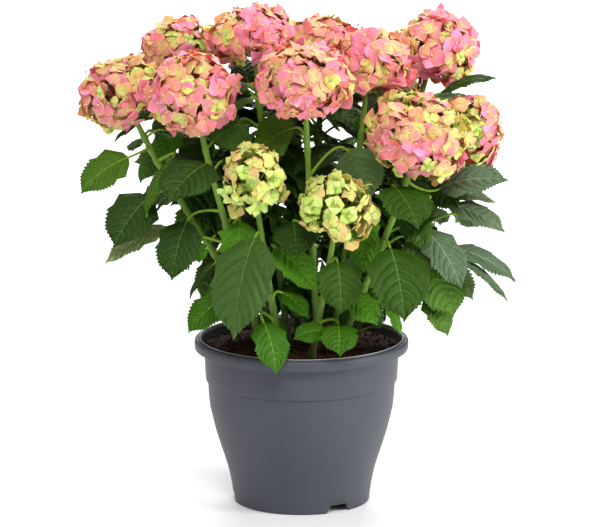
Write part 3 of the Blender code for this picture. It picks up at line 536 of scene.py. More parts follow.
def make_piece(name, parts, materials, nodes, sharp=None):
    """one mesh from parts, each of them (points, triangles, material); the material is a number, or
    one number for each triangle"""
    points, faces, shades, first = [], [], [], 0
    for corners, triangles, shade in parts:
        points.append(corners)
        faces.append(triangles + first)
        shades.append(np.broadcast_to(shade, len(triangles)))
        first += len(corners)
    points, faces, shades = np.vstack(points), np.vstack(faces), np.concatenate(shades)
    mesh = bpy.data.meshes.new(name)
    mesh.vertices.add(len(points))
    mesh.vertices.foreach_set("co", points.astype(np.float32).ravel())
    mesh.loops.add(faces.size)
    mesh.loops.foreach_set("vertex_index", faces.astype(np.int32).ravel())
    mesh.polygons.add(len(faces))
    mesh.polygons.foreach_set("loop_start", np.arange(0, faces.size, 3, dtype=np.int32))
    mesh.polygons.foreach_set("material_index", shades.astype(np.int32))
    mesh.polygons.foreach_set("use_smooth", np.ones(len(faces), bool))
    mesh.update(calc_edges=True)
    for shade in materials:
        mesh.materials.append(shade)
    if sharp is not None:
        mesh.set_sharp_from_angle(angle=math.radians(sharp))
    piece = bpy.data.objects.new(name, mesh)
    bpy.context.scene.collection.objects.link(piece)
    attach(piece, "root")
    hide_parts(*nodes)


def tube(points, radii, sides, side=FIRST_SIDE):
    """rings carried along a path, closed by a point at each end"""
    points = np.asarray(points)
    wall = rings(points, radii, sides, np.array(side, float))
    return capped(wall.reshape(len(points), sides, 3), points[0], points[-1])


def turned(section, angles):
    """a section of (radius, height) turned about Z: one ring of corners for each of its points"""
    section = np.asarray(section)
    corners = np.empty((len(section), len(angles), 3))
    corners[..., :2] = section[:, 0, None, None] * np.column_stack((np.cos(angles), np.sin(angles)))
    corners[..., 2] = section[:, 1, None]
    return corners


def ball(rows, columns):
    """a unit ball: a grid of rings between two poles"""
    polar = np.linspace(0, math.pi, rows + 1)[1:-1]
    round_ = np.arange(columns) * 2 * math.pi / columns
    ring = turned(np.column_stack((np.sin(polar), np.cos(polar))), round_).reshape(-1, 3)
    corners = np.vstack((ring, (0, 0, 1), (0, 0, -1)))
    k = np.arange(columns)
    n = (k + 1) % columns
    last = (rows - 2) * columns
    top = np.column_stack((np.full(columns, len(ring)), k, n))
    foot = np.column_stack((np.full(columns, len(ring) + 1), n + last, k + last))
    return corners, np.vstack((grid_faces(rows - 1, columns, True)[:, ::-1], top, foot))


def many(template, places, frames, sizes):
    """copies of a template (points, triangles), each turned by its frame of three axes and scaled"""
    points, faces = template
    corners = np.einsum("npk,nkj->npj", points[None] * sizes[:, None], frames) + places[:, None]
    numbers = faces[None] + np.arange(len(places))[:, None, None] * len(points)
    return corners.reshape(-1, 3), numbers.reshape(-1, 3)


def units(vectors):
    """each row at unit length"""
    return vectors / np.linalg.norm(vectors, axis=1)[:, None]


def waves(points, chance, count, longest, shortest):
    """a rough relief, for the most part between -1 and 1: a sum of sine waves in random directions,
    the longer ones higher"""
    lengths = np.exp(chance.uniform(math.log(shortest), math.log(longest), count))
    ways = chance.normal(size=(count, 3))
    ways *= (2 * math.pi / lengths / np.linalg.norm(ways, axis=1))[:, None]
    weights = np.sqrt(lengths / lengths.sum())
    return np.sin(points @ ways.T + chance.uniform(0, 2 * math.pi, count)) @ weights


# ---------------------------------------------------------------- materials

class Signal:
    """a socket of a material; sums on it make its Math nodes"""

    def __init__(self, paint, socket):
        self.paint = paint
        self.socket = socket

    def math(self, operation, *values):
        return self.paint.node("Math", {"operation": operation}, dict(enumerate(values)))

    def __add__(self, other):
        return self.math("ADD", self, other)

    def __mul__(self, other):
        return self.math("MULTIPLY", self, other)

    def __sub__(self, other):
        return self.math("SUBTRACT", self, other)

    def __rsub__(self, other):
        return self.math("SUBTRACT", other, self)

    def __pow__(self, other):
        return self.math("POWER", self, other)

    __radd__ = __add__
    __rmul__ = __mul__


class Paint:
    """a material in the making, around one Principled shader"""

    def __init__(self, name, **constants):
        self.material = bpy.data.materials.new(name)
        self.material.use_nodes = True
        self.tree = self.material.node_tree
        self.shader = self.tree.nodes["Principled BSDF"]
        for socket, value in constants.items():
            self.shader.inputs[socket.replace("_", " ")].default_value = value

    def node(self, kind, settings, sockets, output=0):
        made = self.tree.nodes.new("ShaderNode" + kind)
        for key, value in settings.items():
            setattr(made, key, value)
        for key, value in sockets.items():
            if isinstance(value, Signal):
                self.tree.links.new(value.socket, made.inputs[key])
            else:
                made.inputs[key].default_value = value
        return Signal(self, made.outputs[output])

    def place(self, stretch=(1, 1, 1)):
        """the piece's own coordinates, stretched"""
        own = Signal(self, self.tree.nodes.new("ShaderNodeTexCoord").outputs["Object"])
        return self.node("Mapping", {}, {"Vector": own, "Scale": stretch})

    def noise(self, place, scale, detail=3.0, roughness=0.55):
        sockets = {"Vector": place, "Scale": scale, "Detail": detail, "Roughness": roughness}
        return self.node("TexNoise", {}, sockets)

    def ramp(self, value, low, high, start=0.0, end=1.0):
        """start where the value is at low or below, end where it is at high or above"""
        return self.node("MapRange", {}, {0: value, 1: low, 2: high, 3: start, 4: end})

    def grain(self, place, scale):
        return self.node("TexVoronoi", {}, {"Vector": place, "Scale": scale})

    def mix(self, factor, first, second):
        return self.node("Mix", {"data_type": "RGBA"}, {0: factor, 6: first, 7: second}, 2)

    def bump(self, height, distance, strength=1.0):
        relief = self.node("Bump", {}, {"Height": height, "Distance": distance, "Strength": strength})
        self.feed("Normal", relief)

    def feed(self, socket, signal):
        self.tree.links.new(signal.socket, self.shader.inputs[socket])


def colour(red, green, blue):
    """an sRGB colour, 0 to 255, as the linear colour that a shader takes"""
    return (*(((v / 255 + 0.055) / 1.055) ** 2.4 if v > 10 else v / 3294.6 for v in (red, green, blue)), 1.0)


def leaf_paint(name, shade, roughness, gloss):
    """a leaf's skin: one plain colour, puckered between a net of veinlets"""
    paint = Paint(name, Base_Color=colour(*shade), Roughness=roughness, Specular_IOR_Level=gloss)
    place = paint.place()
    paint.bump(1.0 - paint.grain(place, 190) - paint.grain(place, 520) * 0.3, 0.0016, 0.65)
    return paint.material


def petal_paint(name, shade):
    """a petal: one plain colour, soft and a little see-through, with a faint crinkle"""
    paint = Paint(name, Base_Color=colour(*shade), Roughness=0.65, Specular_IOR_Level=0.2,
                  Subsurface_Weight=0.25, Subsurface_Scale=0.004)
    paint.bump(paint.noise(paint.place(), 320), 0.0006, 0.4)
    return paint.material


# leaf greens; blue, silver and sheen are greens greyed by a painted sheen of light
LEAF_SHADES = {
    "night": (24, 46, 10), "dark": (40, 68, 16), "deep": (42, 74, 6), "mid": (55, 92, 18),
    "olive": (66, 90, 28), "spring": (68, 104, 20), "fresh": (52, 98, 6), "bright": (76, 130, 24),
    "soft": (76, 116, 36), "sheen": (64, 96, 38), "blue": (84, 106, 76), "silver_sheen": (98, 116, 82),
    "pale": (146, 164, 106),
    "under_dark": (92, 118, 70), "under_fresh": (118, 158, 66),
}
# vein_blue, paler and greyer, carries the painted sheen onto the veins of the greyed leaves
VEIN_SHADES = {"vein_dark": (94, 124, 50), "vein_fresh": (116, 158, 46), "vein_blue": (136, 158, 118)}
STEM_SHADES = {"stem_green": (134, 172, 48), "stem_dark": (86, 112, 34)}
POT_SHADES = ((60, 62, 71), (73, 75, 85))
# the colour of the painted highlight on the inside of the rim, near its top
POT_HIGHLIGHT_SHADE = (184, 186, 192)
PEAT_SHADES = ((22, 12, 6), (88, 48, 28))
CRUMB_SHADE = (46, 27, 15)
CANE_SHADES = ((92, 130, 30), (124, 162, 52))
# the cane's foot: brown bark, darkened as painted shade low in the crown
CANE_FOOT_BROWN_AND_SHADE = (66, 70, 28)
LENTICEL_SHADE = (70, 52, 34)
BROWN_AND_SHADE_HEIGHTS = (0.215, 0.31)  # over which a cane's foot, brown and darkened as painted shade, turns green
LENTICEL_REACH = 0.28  # from the middle of a lenticel to its margin, as a share of their spacing
BEAD_SHADE = (246, 240, 206)
# unripe to ripe, in small steps, then coral for older petals, a dark rose painted as shade on the hidden
# inner florets of pink blooms, and one for petals in shade
PETAL_SHADES = {
    "moss": (146, 164, 60), "lime": (182, 210, 94), "pale_lime": (216, 228, 132),
    "lime_cream": (220, 222, 120), "cream": (226, 204, 116), "peach_cream": (234, 188, 124),
    "peach": (237, 174, 128), "blush": (240, 162, 132), "salmon": (239, 146, 138), "rose": (242, 134, 146),
    "pink": (246, 136, 160), "orchid": (250, 150, 182), "coral": (226, 112, 104),
    "shaded_rose": (200, 80, 80), "dim": (58, 74, 20),
}


def make_materials():
    """every paint, by the name that its pieces ask for"""
    made = {}
    for name, shade in LEAF_SHADES.items():
        under = name.startswith("under")
        made[name] = leaf_paint("leaf_" + name, shade, 0.65 if under else 0.50, 0.1 if under else 0.16)
    for name, shade in {**VEIN_SHADES, **STEM_SHADES}.items():
        made[name] = leaf_paint(name, shade, 0.5, 0.2)
    for name, shade in PETAL_SHADES.items():
        made[name] = petal_paint("petal_" + name, shade)
    bead = Paint("bead", Base_Color=colour(*BEAD_SHADE), Roughness=0.45, Subsurface_Weight=0.2,
                 Subsurface_Scale=0.003)
    made["bead"] = bead.material
    made["pot"] = pot_paint()
    made["compost"] = compost_paint()
    made["cane"] = cane_paint()
    return made


HIGHLIGHT_SQUARES = (0.01898, 0.01904)  # of the distance from the axis, over which the painted highlight inside the rim ends
HIGHLIGHT_HEIGHTS = (POT_HEIGHT - 0.0045, POT_HEIGHT - 0.0030)  # over which it starts


def pot_paint():
    """slate plastic: a cloudy tone, faint upright drag marks, a satin face and a painted highlight inside the
    rim
    """
    paint = Paint("pot_plastic", Specular_IOR_Level=0.4)
    place = paint.place()
    cloud = paint.noise(place, 9)
    drag = paint.noise(paint.place((60, 60, 3)), 1.0, 4.0)
    speck = paint.noise(place, 700, 2.0)
    tone = paint.mix(cloud * 0.7 + drag * 0.3, *(colour(*shade) for shade in POT_SHADES))
    across, deep, up = (paint.node("SeparateXYZ", {}, {0: paint.place()}, k) for k in range(3))
    # a painted highlight: a pale band on the inside of the rim, just below its top
    inner = paint.ramp(across * across + deep * deep, *HIGHLIGHT_SQUARES, 1.0, 0.0)
    painted_highlight = inner * paint.ramp(up, *HIGHLIGHT_HEIGHTS)
    paint.feed("Base Color", paint.mix(painted_highlight, tone, colour(*POT_HIGHLIGHT_SHADE)))
    paint.feed("Roughness", 0.44 + cloud * 0.10 + speck * 0.06)
    paint.bump(speck * 0.5 + drag * 0.5, 0.00012, 0.6)
    return paint.material


def compost_paint():
    """dark peat crumbs among redder bark"""
    paint = Paint("compost_crumbs", Specular_IOR_Level=0.2)
    place = paint.place()
    crumb = paint.grain(place, 260)
    bark = paint.noise(place, 70, 4.0)
    base = paint.mix(bark, *(colour(*shade) for shade in PEAT_SHADES))
    paint.feed("Base Color", paint.mix((crumb * 1.1) ** 2.0, base, colour(*CRUMB_SHADE)))
    paint.feed("Roughness", 0.86 + bark * 0.12)
    paint.bump(crumb * 0.6 + bark * 0.4, 0.0012, 0.9)
    return paint.material


def cane_paint():
    """green bark, browner and darker towards the foot as woody bark and painted shade, with small dark
    lenticels
    """
    paint = Paint("cane_bark", Roughness=0.5, Specular_IOR_Level=0.4)
    place = paint.place()
    up = paint.node("SeparateXYZ", {}, {0: place}, 2)
    # browner and darker towards the foot: woody bark, with painted shade
    brown_and_shade = paint.ramp(up, *BROWN_AND_SHADE_HEIGHTS, 1.0, 0.0)
    spots = paint.grain(paint.place((1, 1, 0.4)), 330)
    spots = paint.ramp(spots, 0.0, LENTICEL_REACH, 1.0, 0.0)
    green = paint.mix(paint.noise(place, 60), *(colour(*shade) for shade in CANE_SHADES))
    bark = paint.mix(brown_and_shade, green, colour(*CANE_FOOT_BROWN_AND_SHADE))
    paint.feed("Base Color", paint.mix(spots * 0.55, bark, colour(*LENTICEL_SHADE)))
    paint.bump(paint.noise(paint.place((1, 1, 0.15)), 420) - spots * 0.4, 0.0004, 0.6)
    return paint.material


# ---------------------------------------------------------------- leaves

TOOTH = 0.0072  # from a notch out to a tooth's tip
ROWS_PER_VEIN = 4  # of the blade's grid; a tooth takes two
LAST_ROW = 0.985  # along the midrib, where the blade's rows end before its tip
BLADE_HALF_THICKNESS = 0.0003
VEIN_START = 0.02  # along the midrib, where the first side veins would leave it
VEIN_STEP = 0.14
VEINS = 6
QUILT = 0.0030  # the swell between two side veins, on a blade of VEINED_LENGTH
WAVE = 0.06  # of the half width, the margin's slow wave
VEINED_LENGTH = 0.09  # the blade that the swell and the veins' radii are told for
BASE_FADE = 0.12  # along the midrib from its base, over which the sweep and the swell set in
MIDRIB_RADII = ((0, 0.15, 1), (0.0015, 0.0011, 0.0005))  # shares of the midrib, and its radius there
MIDRIB_END = 0.98
SIDE_VEIN_RADII = (0.00068, 0.00045)
SIDE_VEIN_END = 0.95  # of the blade's half width
LAST_VEIN_RADIUS = 0.7  # of the other side veins'
STALK_RADII = ((0, 0.12, 0.8, 1), (0.0030, 0.0019, 0.0016, 0.0009))  # from the cane to the blade

# the tone of each placed leaf, in the table's order, chosen leaf by leaf: some are lighter or darker than the
# leaf's own green as painted light or shade, and blue, silver and sheen are painted sheen
PLACED_TONES = (
    "spring", "spring", "dark", "pale", "pale", "dark", "spring", "dark", "dark", "olive", "bright",
    "fresh", "soft", "bright", "sheen", "bright", "fresh", "fresh", "deep", "fresh", "fresh", "bright",
    "spring", "dark", "bright", "deep", "deep", "bright", "blue", "soft", "soft", "silver_sheen", "silver_sheen",
    "blue", "blue", "blue", "dark", "mid", "dark", "dark", "dark", "bright",
)
# night, the darkest of these greens, is painted shade for leaves deep in the crown
RULE_TONES = ("dark", "dark", "mid", "dark", "olive", "mid", "night")
YOUNG = ("fresh", "bright", "spring")
# the greyed tones; blue and silver among them are painted sheen
GREY = ("blue", "silver_sheen", "pale")

# how finely a leaf is made: the columns of its blade's grid, and the points and sides of its midrib and
# of each side vein
Detail = namedtuple("Detail", "columns rib_points rib_sides vein_points vein_sides")
PLACED_DETAIL = Detail((-1, -0.83, -0.6, -0.36, -0.14, 0, 0.14, 0.36, 0.6, 0.83, 1), 16, 5, 7, 4)
RULE_DETAIL = Detail((-1, -0.7, -0.34, 0, 0.34, 0.7, 1), 9, 4, 5, 3)


def is_placed(leaf):
    return leaf["pair"][0] == "placed"


def detail_of(leaf):
    return PLACED_DETAIL if is_placed(leaf) else RULE_DETAIL


def fine_outline(along):
    """a fuller blade than the plain outline, that ends in a drawn-out drip tip"""
    along = np.clip(along, 0, 1)
    return np.sin(math.pi * along ** 0.76) ** 0.76 * (1 - 0.6 * smooth_step(0.80, 0.94, along))


def fine_share(along, across):
    """a place across the fine blade, told as a place across the plain one"""
    return across * np.clip(fine_outline(along), 1e-4, 1) / np.maximum(outline(along), 1e-4)


def swept(start, across):
    """how far along the midrib a line has run that leaves it at start, parallel to the side veins"""
    across = np.abs(across)
    return start + (0.24 * across + 0.16 * across ** 2) * smooth_step(0, BASE_FADE, start) * (1 - start ** 2)


def quilt(leaf, start, across):
    """the blade's swell between its side veins, low along the midrib and gone at the margin and both
    ends, with a slow wave of the margin"""
    across = np.abs(across)
    swell = np.abs(np.sin(math.pi * (start - VEIN_START) / VEIN_STEP))
    ends = smooth_step(0, BASE_FADE, start) * (1 - smooth_step(0.86, 1, start))
    hold = (0.35 + 0.65 * smooth_step(0, 0.3, across)) * (1 - across ** 5)
    wave = np.sin(2 * math.pi * (1.7 * start + leaf["phase"])) * across ** 2 * leaf["width"] * 0.5 * WAVE
    return leaf["length"] / VEINED_LENGTH * QUILT * swell * ends * hold + wave * ends


def fine_blade(leaf):
    """a toothed blade as a thin closed shell: two sheets that share their margin, their rows swept
    forward with the side veins, a tooth's tip and its notch one row each"""
    columns = np.array(detail_of(leaf).columns)
    start = np.arange(VEIN_START, LAST_ROW, VEIN_STEP / ROWS_PER_VEIN)
    tip = np.arange(len(start)) % 2
    grid_start, grid_across = np.meshgrid(start, columns, indexing="ij")
    margin = np.abs(grid_across) == 1
    lean = np.where(margin, 0.5 * VEIN_STEP / ROWS_PER_VEIN * tip[:, None], 0)
    along = swept(grid_start, grid_across) + lean
    half = np.maximum(0.5 * leaf["width"] * outline(along), 0.002)
    fade = smooth_step(0.04, 0.16, along) * (1 - smooth_step(0.90, 0.98, along))
    fade = fade * math.sqrt(leaf["length"] / 0.1)
    reach = np.where(tip == 1, 0.5, -0.5)[:, None] * TOOTH / half * fade
    across = fine_share(along, grid_across) + np.where(margin, grid_across * reach, 0)
    lift = quilt(leaf, grid_start, grid_across)
    thick = BLADE_HALF_THICKNESS * (1 - np.abs(grid_across) ** 6)
    upper = blade(leaf, along, across, lift + thick)
    lower = blade(leaf, along, across, lift - thick)[:, 1:-1]
    ends = blade(leaf, np.array((0.0, 1.0)), np.zeros(2))
    corners = np.vstack((upper.reshape(-1, 3), lower.reshape(-1, 3), ends))
    rows, count = along.shape
    top = np.arange(rows * count).reshape(rows, count)
    under = top.copy()
    under[:, 1:-1] = top.size + np.arange(rows * (count - 2)).reshape(rows, -1)
    return corners, top, under


def sheet_faces(numbers, first, last):
    """triangles over a sheet whose points have these numbers, with a fan to a point at each end"""
    rows, columns = numbers.shape
    flat = numbers.ravel()
    faces = flat[grid_faces(rows, columns)]
    foot = np.column_stack((np.full(columns - 1, first), numbers[0, 1:], numbers[0, :-1]))
    tip = np.column_stack((np.full(columns - 1, last), numbers[-1, :-1], numbers[-1, 1:]))
    return np.vstack((faces, foot, tip))


def leaf_parts(leaf, tones):
    """the fine blade's corners and triangles, with its own tone above and a paler one below"""
    corners, top, under = fine_blade(leaf)
    first, last = len(corners) - 2, len(corners) - 1
    above = sheet_faces(top, first, last)
    below = sheet_faces(under, first, last)[:, ::-1]
    under = "pale" if leaf["tone"] == "pale" else "under_fresh" if leaf["tone"] in YOUNG else "under_dark"
    shades = np.repeat((tones[leaf["tone"]], tones[under]), (len(above), len(below)))
    return corners, np.vstack((above, below)), shades


def vein_parts(leaf, shade):
    """the midrib, tapered from the stalk to the drip tip, and the side veins, standing a little proud of
    both faces of the blade"""
    detail = detail_of(leaf)
    start = np.linspace(0.0, MIDRIB_END, detail.rib_points)
    scale = math.sqrt(leaf["length"] / VEINED_LENGTH)
    radii = np.interp(start, *MIDRIB_RADII) * scale
    middle = np.array((0.3,))
    up = blade(leaf, middle, np.zeros(1), 1.0)[0] - blade(leaf, middle, np.zeros(1))[0]
    rib = blade(leaf, start, np.zeros(len(start)), quilt(leaf, start, np.zeros(len(start))))
    parts = [(*tube(rib, radii, detail.rib_sides, up), shade)]
    share = np.linspace(0, SIDE_VEIN_END, detail.vein_points)
    for k in range(1, VEINS + 1):
        begin = VEIN_START + VEIN_STEP * k
        along = swept(begin, share)
        radii = np.linspace(*SIDE_VEIN_RADII, len(share)) * scale
        radii = radii * (1 if k < VEINS else LAST_VEIN_RADIUS)
        for side in (-1, 1):
            path = blade(leaf, along, fine_share(along, side * share), quilt(leaf, begin, side * share))
            parts.append((*tube(path, radii, detail.vein_sides, up), shade))
    return parts


def stalk_part(leaf, shade):
    """a stout stalk, swollen where it clasps the cane"""
    path = stalk_path(leaf, 12)[::-1]
    path = np.vstack((path, blade(leaf, np.array((0.03, 0.08)), np.zeros(2))))
    radii = np.interp(np.linspace(0, 1, len(path)), *STALK_RADII)
    return (*tube(path, radii, 7), shade)


# leaves in the shade behind the front canes, told as the placed leaves are
SHADE_LEAVES = (
    ("back_right", 0.464, (0.060, 21, 38), (0.093, 0.078), (12, -9, -21)),
    ("left_front", 0.499, (0.030, 74, 13), (0.086, 0.073), (54, -8, 43)),
    ("right_top", 0.529, (0.054, 199, 30), (0.076, 0.063), (145, 57, -42)),
    ("far_right", 0.318, (0.046, 328, 5), (0.089, 0.065), (19, 33, -51)),
    ("left_back", 0.497, (0.054, 231, 42), (0.069, 0.044), (186, 13, -31)),
    ("far_right", 0.367, (0.061, 356, 25), (0.046, 0.028), (38, 31, -51)),
    ("left_back", 0.512, (0.033, 165, 11), (0.049, 0.031), (150, 52, 28)),
    ("right_front", 0.356, (0.045, 343, 25), (0.065, 0.04), (304, 64, 17)),
    ("top_back", 0.476, (0.073, 146, 37), (0.085, 0.06), (153, 30, 14)),
    ("top_back", 0.463, (0.032, 49, 26), (0.05, 0.031), (91, 30, 32)),
    ("front", 0.462, (0.063, 18, 32), (0.083, 0.063), (39, 62, -51)),
    ("far_right", 0.409, (0.040, 251, 33), (0.075, 0.049), (305, 10, 29)),
    ("top_back", 0.491, (0.041, 193, 36), (0.062, 0.049), (199, 76, -48)),
    ("back_left", 0.398, (0.057, 154, 2), (0.082, 0.069), (129, 29, -33)),
    ("back_left", 0.465, (0.052, 52, 12), (0.066, 0.041), (109, 53, 50)),
    ("back_left", 0.421, (0.061, 203, 24), (0.069, 0.058), (175, 4, 41)),
    ("far_right", 0.417, (0.062, 36, 30), (0.063, 0.042), (58, 0, 17)),
    ("back", 0.409, (0.066, 45, 18), (0.058, 0.046), (26, 48, -3)),
    ("right_top", 0.328, (0.048, 22, 28), (0.07, 0.057), (37, 4, -41)),
    ("back", 0.290, (0.030, 235, 35), (0.080, 0.052), (250, 62, 0)),
    ("back", 0.280, (0.030, 305, 35), (0.080, 0.052), (290, 62, 0)),
    ("back_left", 0.295, (0.034, 300, 35), (0.078, 0.050), (290, 58, 0)),
    ("back_right", 0.295, (0.034, 240, 35), (0.078, 0.050), (250, 58, 0)),
    ("top_back", 0.285, (0.030, 270, 30), (0.070, 0.046), (265, 66, 0)),
    ("left_back", 0.285, (0.032, 320, 30), (0.070, 0.046), (300, 62, 0)),
    ("right_top", 0.285, (0.032, 215, 30), (0.070, 0.046), (235, 62, 0)),
    ("centre", 0.280, (0.030, 200, 30), (0.064, 0.042), (225, 62, 0)),
    ("left_back", 0.320, (0.030, 200, 30), (0.076, 0.050), (215, 55, -20)),
    ("right_top", 0.320, (0.030, 340, 30), (0.076, 0.050), (325, 55, 20)),
)


# The rule for leaves on side shoots, in degrees and metres as the rule for the pairs is.
SHOOT_TOP = 0.008  # below the bloom, as a share of the cane
SHOOT_BOTTOM = 0.225
SHOOT_TURN = 70
SHOOT_RISE = 25
SHOOT_SIZES = (0.8, 0.6, 0.42)


def more_leaves(crown):
    """the leaves in the shade, then smaller leaves on short side shoots between the pairs, wherever
    room is left"""
    for index, row in enumerate(SHADE_LEAVES):
        crown.settle(("shade", index), SMALL_TURNS + WIDE_TURNS, row, True)
    chance = np.random.default_rng(SEED + 4)
    for index, name in enumerate(CANES):
        highest = cane_points(name, [share_at_bloom(name) - SHOOT_TOP])[0][2]
        for step, height in enumerate(np.arange(highest, SHOOT_BOTTOM, -NODE_SPACING / 2)):
            for half in (45, 225):
                sway = chance.uniform(-1, 1, 5)
                way = GOLDEN_TURN * index + SHOOT_TURN * step + half + 20 * sway[0]
                stalk = (0.6 * STALK_LENGTH + STALK_SWAY * sway[3], way, SHOOT_RISE)
                hang = (way, 30 + 25 * sway[2], 18 * sway[4])
                for size in SHOOT_SIZES:
                    length = (LEAF_LENGTH + 0.014 * sway[1]) * size
                    row = (name, height, stalk, (length, length * LEAF_WIDTH), hang)
                    if crown.settle((name, -step - 1), WIDE_TURNS, row, False):
                        break


LEAF_SIDES = {
    "left": ("far_left", "left_front", "left_back", "green_left", "top_left"),
    "middle": ("front", "top_back", "centre", "green_right", "back_left", "back"),
    "right": ("right_top", "right_front", "far_right", "back_right"),
}
FRESH_BELOW = 0.33  # height of the nodes under which some leaves of the rule are fresh
DARK_STALKS_BELOW = 0.30


def dress_leaves(leaves, made):
    """blades and veins, each kind joined for one side of the crown, and all stalks in one piece"""
    chance = np.random.default_rng(SEED + 1)
    tones = {name: k for k, name in enumerate(LEAF_SHADES)}
    veins = {name: k for k, name in enumerate(VEIN_SHADES)}
    for leaf in leaves:
        draw = chance.uniform(size=2)
        leaf["phase"] = draw[0]
        if is_placed(leaf):
            leaf["tone"] = PLACED_TONES[leaf["pair"][1]]
        else:
            shaded = leaf["pair"][0] == "shade" or leaf["node"][2] >= FRESH_BELOW
            tone = RULE_TONES[int(draw[1] * len(RULE_TONES))]
            leaf["tone"] = tone if shaded or draw[1] > 0.45 else "fresh"
    for side, canes in LEAF_SIDES.items():
        mine = [leaf for leaf in leaves if leaf["cane"] in canes]
        nodes = [f"foliage_{name}" for name in canes]
        make_piece(f"leaves_{side}", [leaf_parts(leaf, tones) for leaf in mine],
                   [made[name] for name in LEAF_SHADES], nodes, 70)
        lines = []
        for leaf in mine:
            tone = leaf["tone"]
            kind = "vein_fresh" if tone in YOUNG else "vein_blue" if tone in GREY else "vein_dark"
            lines += vein_parts(leaf, veins[kind])
        make_piece(f"veins_{side}", lines, [made[name] for name in VEIN_SHADES], nodes)
    dark = [leaf["tone"] not in YOUNG and leaf["node"][2] < DARK_STALKS_BELOW for leaf in leaves]
    stalks = [stalk_part(leaf, int(shaded)) for leaf, shaded in zip(leaves, dark)]
    make_piece("leaf_stalks", stalks, [made["stem_green"], made["stem_dark"]],
               [f"foliage_{name}" for name in CANES])


# ---------------------------------------------------------------- canes

CANE_RINGS = 70
NODE_SWELL = 0.0009
NODE_REACH = 0.004  # along the cane, from a node's middle


def dress_canes(leaves, made):
    """each cane in one run from the compost into its bloom, flared at the foot and swollen at its nodes"""
    parts = []
    for name in CANES:
        shares = np.linspace(0, 1, CANE_RINGS)
        path = cane_points(name, shares)
        path[0] -= 0.002 * UP
        radii = np.interp(shares, (0, 1), (CANE_FOOT_RADIUS, CANE_TIP_RADIUS))
        radii += FLARE * np.exp(-(shares / FLARE_RUN) ** 2)
        for leaf in leaves:
            if leaf["cane"] == name:
                distance = np.linalg.norm(path - leaf["node"], axis=1)
                radii += NODE_SWELL * np.exp(-(distance / NODE_REACH) ** 2)
        parts.append((*tube(path, radii, 12), 0))
    make_piece("canes", parts, [made["cane"]], [f"cane_{name}" for name in CANES])


# ---------------------------------------------------------------- blooms

BROAD_SEPAL = ((0.15, 0.38, 0.62, 0.85), (-1, -0.84, 0, 0.84, 1))
SMALL_SEPAL = ((0.35, 0.75), (-1, 0, 1))
SEPAL_HALF_THICKNESS = 0.00018
SEPAL_PEAK = 0.42  # of its length, where a sepal is broadest
SEPAL_LENGTHS = (0.86, 1.10)  # of its floret's radius
SEPAL_WIDTHS = (0.98, 1.25)  # of its length
SEPAL_STEP = 0.0006  # from one pair of a floret's sepals up to the other
BANDS = (0, 0.45, 0.85, 1, 1)  # how far a sepal's tone has run from its heart's to its tip's
LOWEST_FLORET = 138  # degrees from a bloom's top

# the tones of a sepal's heart and tip, as places in PETAL_SHADES
RIPE = ((4, 10), (6, 11), (5, 9), (7, 10), (4, 9), (6, 9), (8, 10), (5, 8), (9, 11), (7, 11), (8, 9), (6, 10),
        (8, 12))
BLUSHING = ((4, 8), (5, 7), (3, 7), (6, 8), (4, 6), (5, 9), (3, 6))
HALF_RIPE = ((1, 5), (2, 6), (2, 4), (3, 6), (2, 7), (1, 4), (3, 5))
UNRIPE = ((0, 2), (1, 3), (1, 2), (2, 4), (1, 4), (2, 3), (0, 3), (1, 5))
# the hidden inner florets' tones: the dark rose on pink blooms and dim on green ones paint the shade deep in
# the bloom
SHADED = ((0, 0), (0, 1), (13, 12), (0, 12), (13, 13))
DIM = ((14, 14), (14, 14), (0, 0))
FIRST_OLD = 12  # the first tone of older petals; the tones before it sway by up to one place
PINKS = range(7, 13)  # the tones of tip that may have a pale margin
PALE_MARGINS = (3, 6)  # the first of its tones, and one past the last
PALE_SHARE = 0.6

# how far behind a floret is from where on it is blushing, half ripe or unripe, and its size at each
# stage, ripe florets first
STAGE_STARTS = (0.15, 0.55, 0.95)
STAGE_SIZES = np.array((1.0, 0.92, 0.78, 0.60))

# how far each bloom is behind the others in ripening
BEHIND = {
    "far_left": 0.34, "left_front": -0.02, "left_back": 0.35, "top_left": -0.12, "front": -0.02,
    "top_back": 0.15, "centre": -0.15, "right_top": -0.02, "right_front": 0.50, "far_right": 0.52,
    "green_left": 3.20, "green_right": 2.70, "back_left": 0.30, "back": 0.10, "back_right": 0.20,
}

# a layer of florets: how many on a bloom of middling size, their depths as shares of the bloom, their
# radii, and how far they tilt
Layer = namedtuple("Layer", "count depths radii tilt")
PINK_OUTER = Layer(80, (0.75, 0.92), (0.0148, 0.0218), 0.38)
GREEN_OUTER = Layer(54, (0.74, 0.94), (0.0125, 0.0172), 0.46)
INNER = Layer(36, (0.54, 0.68), (0.0110, 0.0150), 0.40)
MIDDLING = 0.0030  # the bloom's half width by the mean of its half width and half height, in square metres


def sepal_template(rows_at, columns_at):
    """a sepal's grid: its rows along and columns across, as two sheets that share their margin, and for
    each triangle its band from the heart outwards, or the last band on the margin"""
    along, across = np.meshgrid(rows_at, columns_at, indexing="ij")
    rows, columns = along.shape
    inner = rows * (columns - 2)
    top = np.arange(rows * columns).reshape(rows, columns)
    under = top.copy()
    under[:, 1:-1] = top.size + np.arange(inner).reshape(rows, -1)
    first = top.size + inner
    side = np.concatenate((np.where(np.abs(across.ravel()) == 1, 0, 1), -np.ones(inner), (0, 0)))
    along = np.concatenate((along.ravel(), along[:, 1:-1].ravel(), (0, 1)))
    across = np.concatenate((across.ravel(), across[:, 1:-1].ravel(), (0, 0)))
    faces = np.vstack((sheet_faces(top, first, first + 1), sheet_faces(under, first, first + 1)[:, ::-1]))
    band = np.minimum(np.digitize(along[faces].mean(axis=1), rows_at), len(BANDS) - 1)
    margin = (np.abs(across[faces]).min(axis=1) > 0.7) & (along[faces].mean(axis=1) > 0.3)
    return along, across, side, faces, np.where(margin, len(BANDS), band)


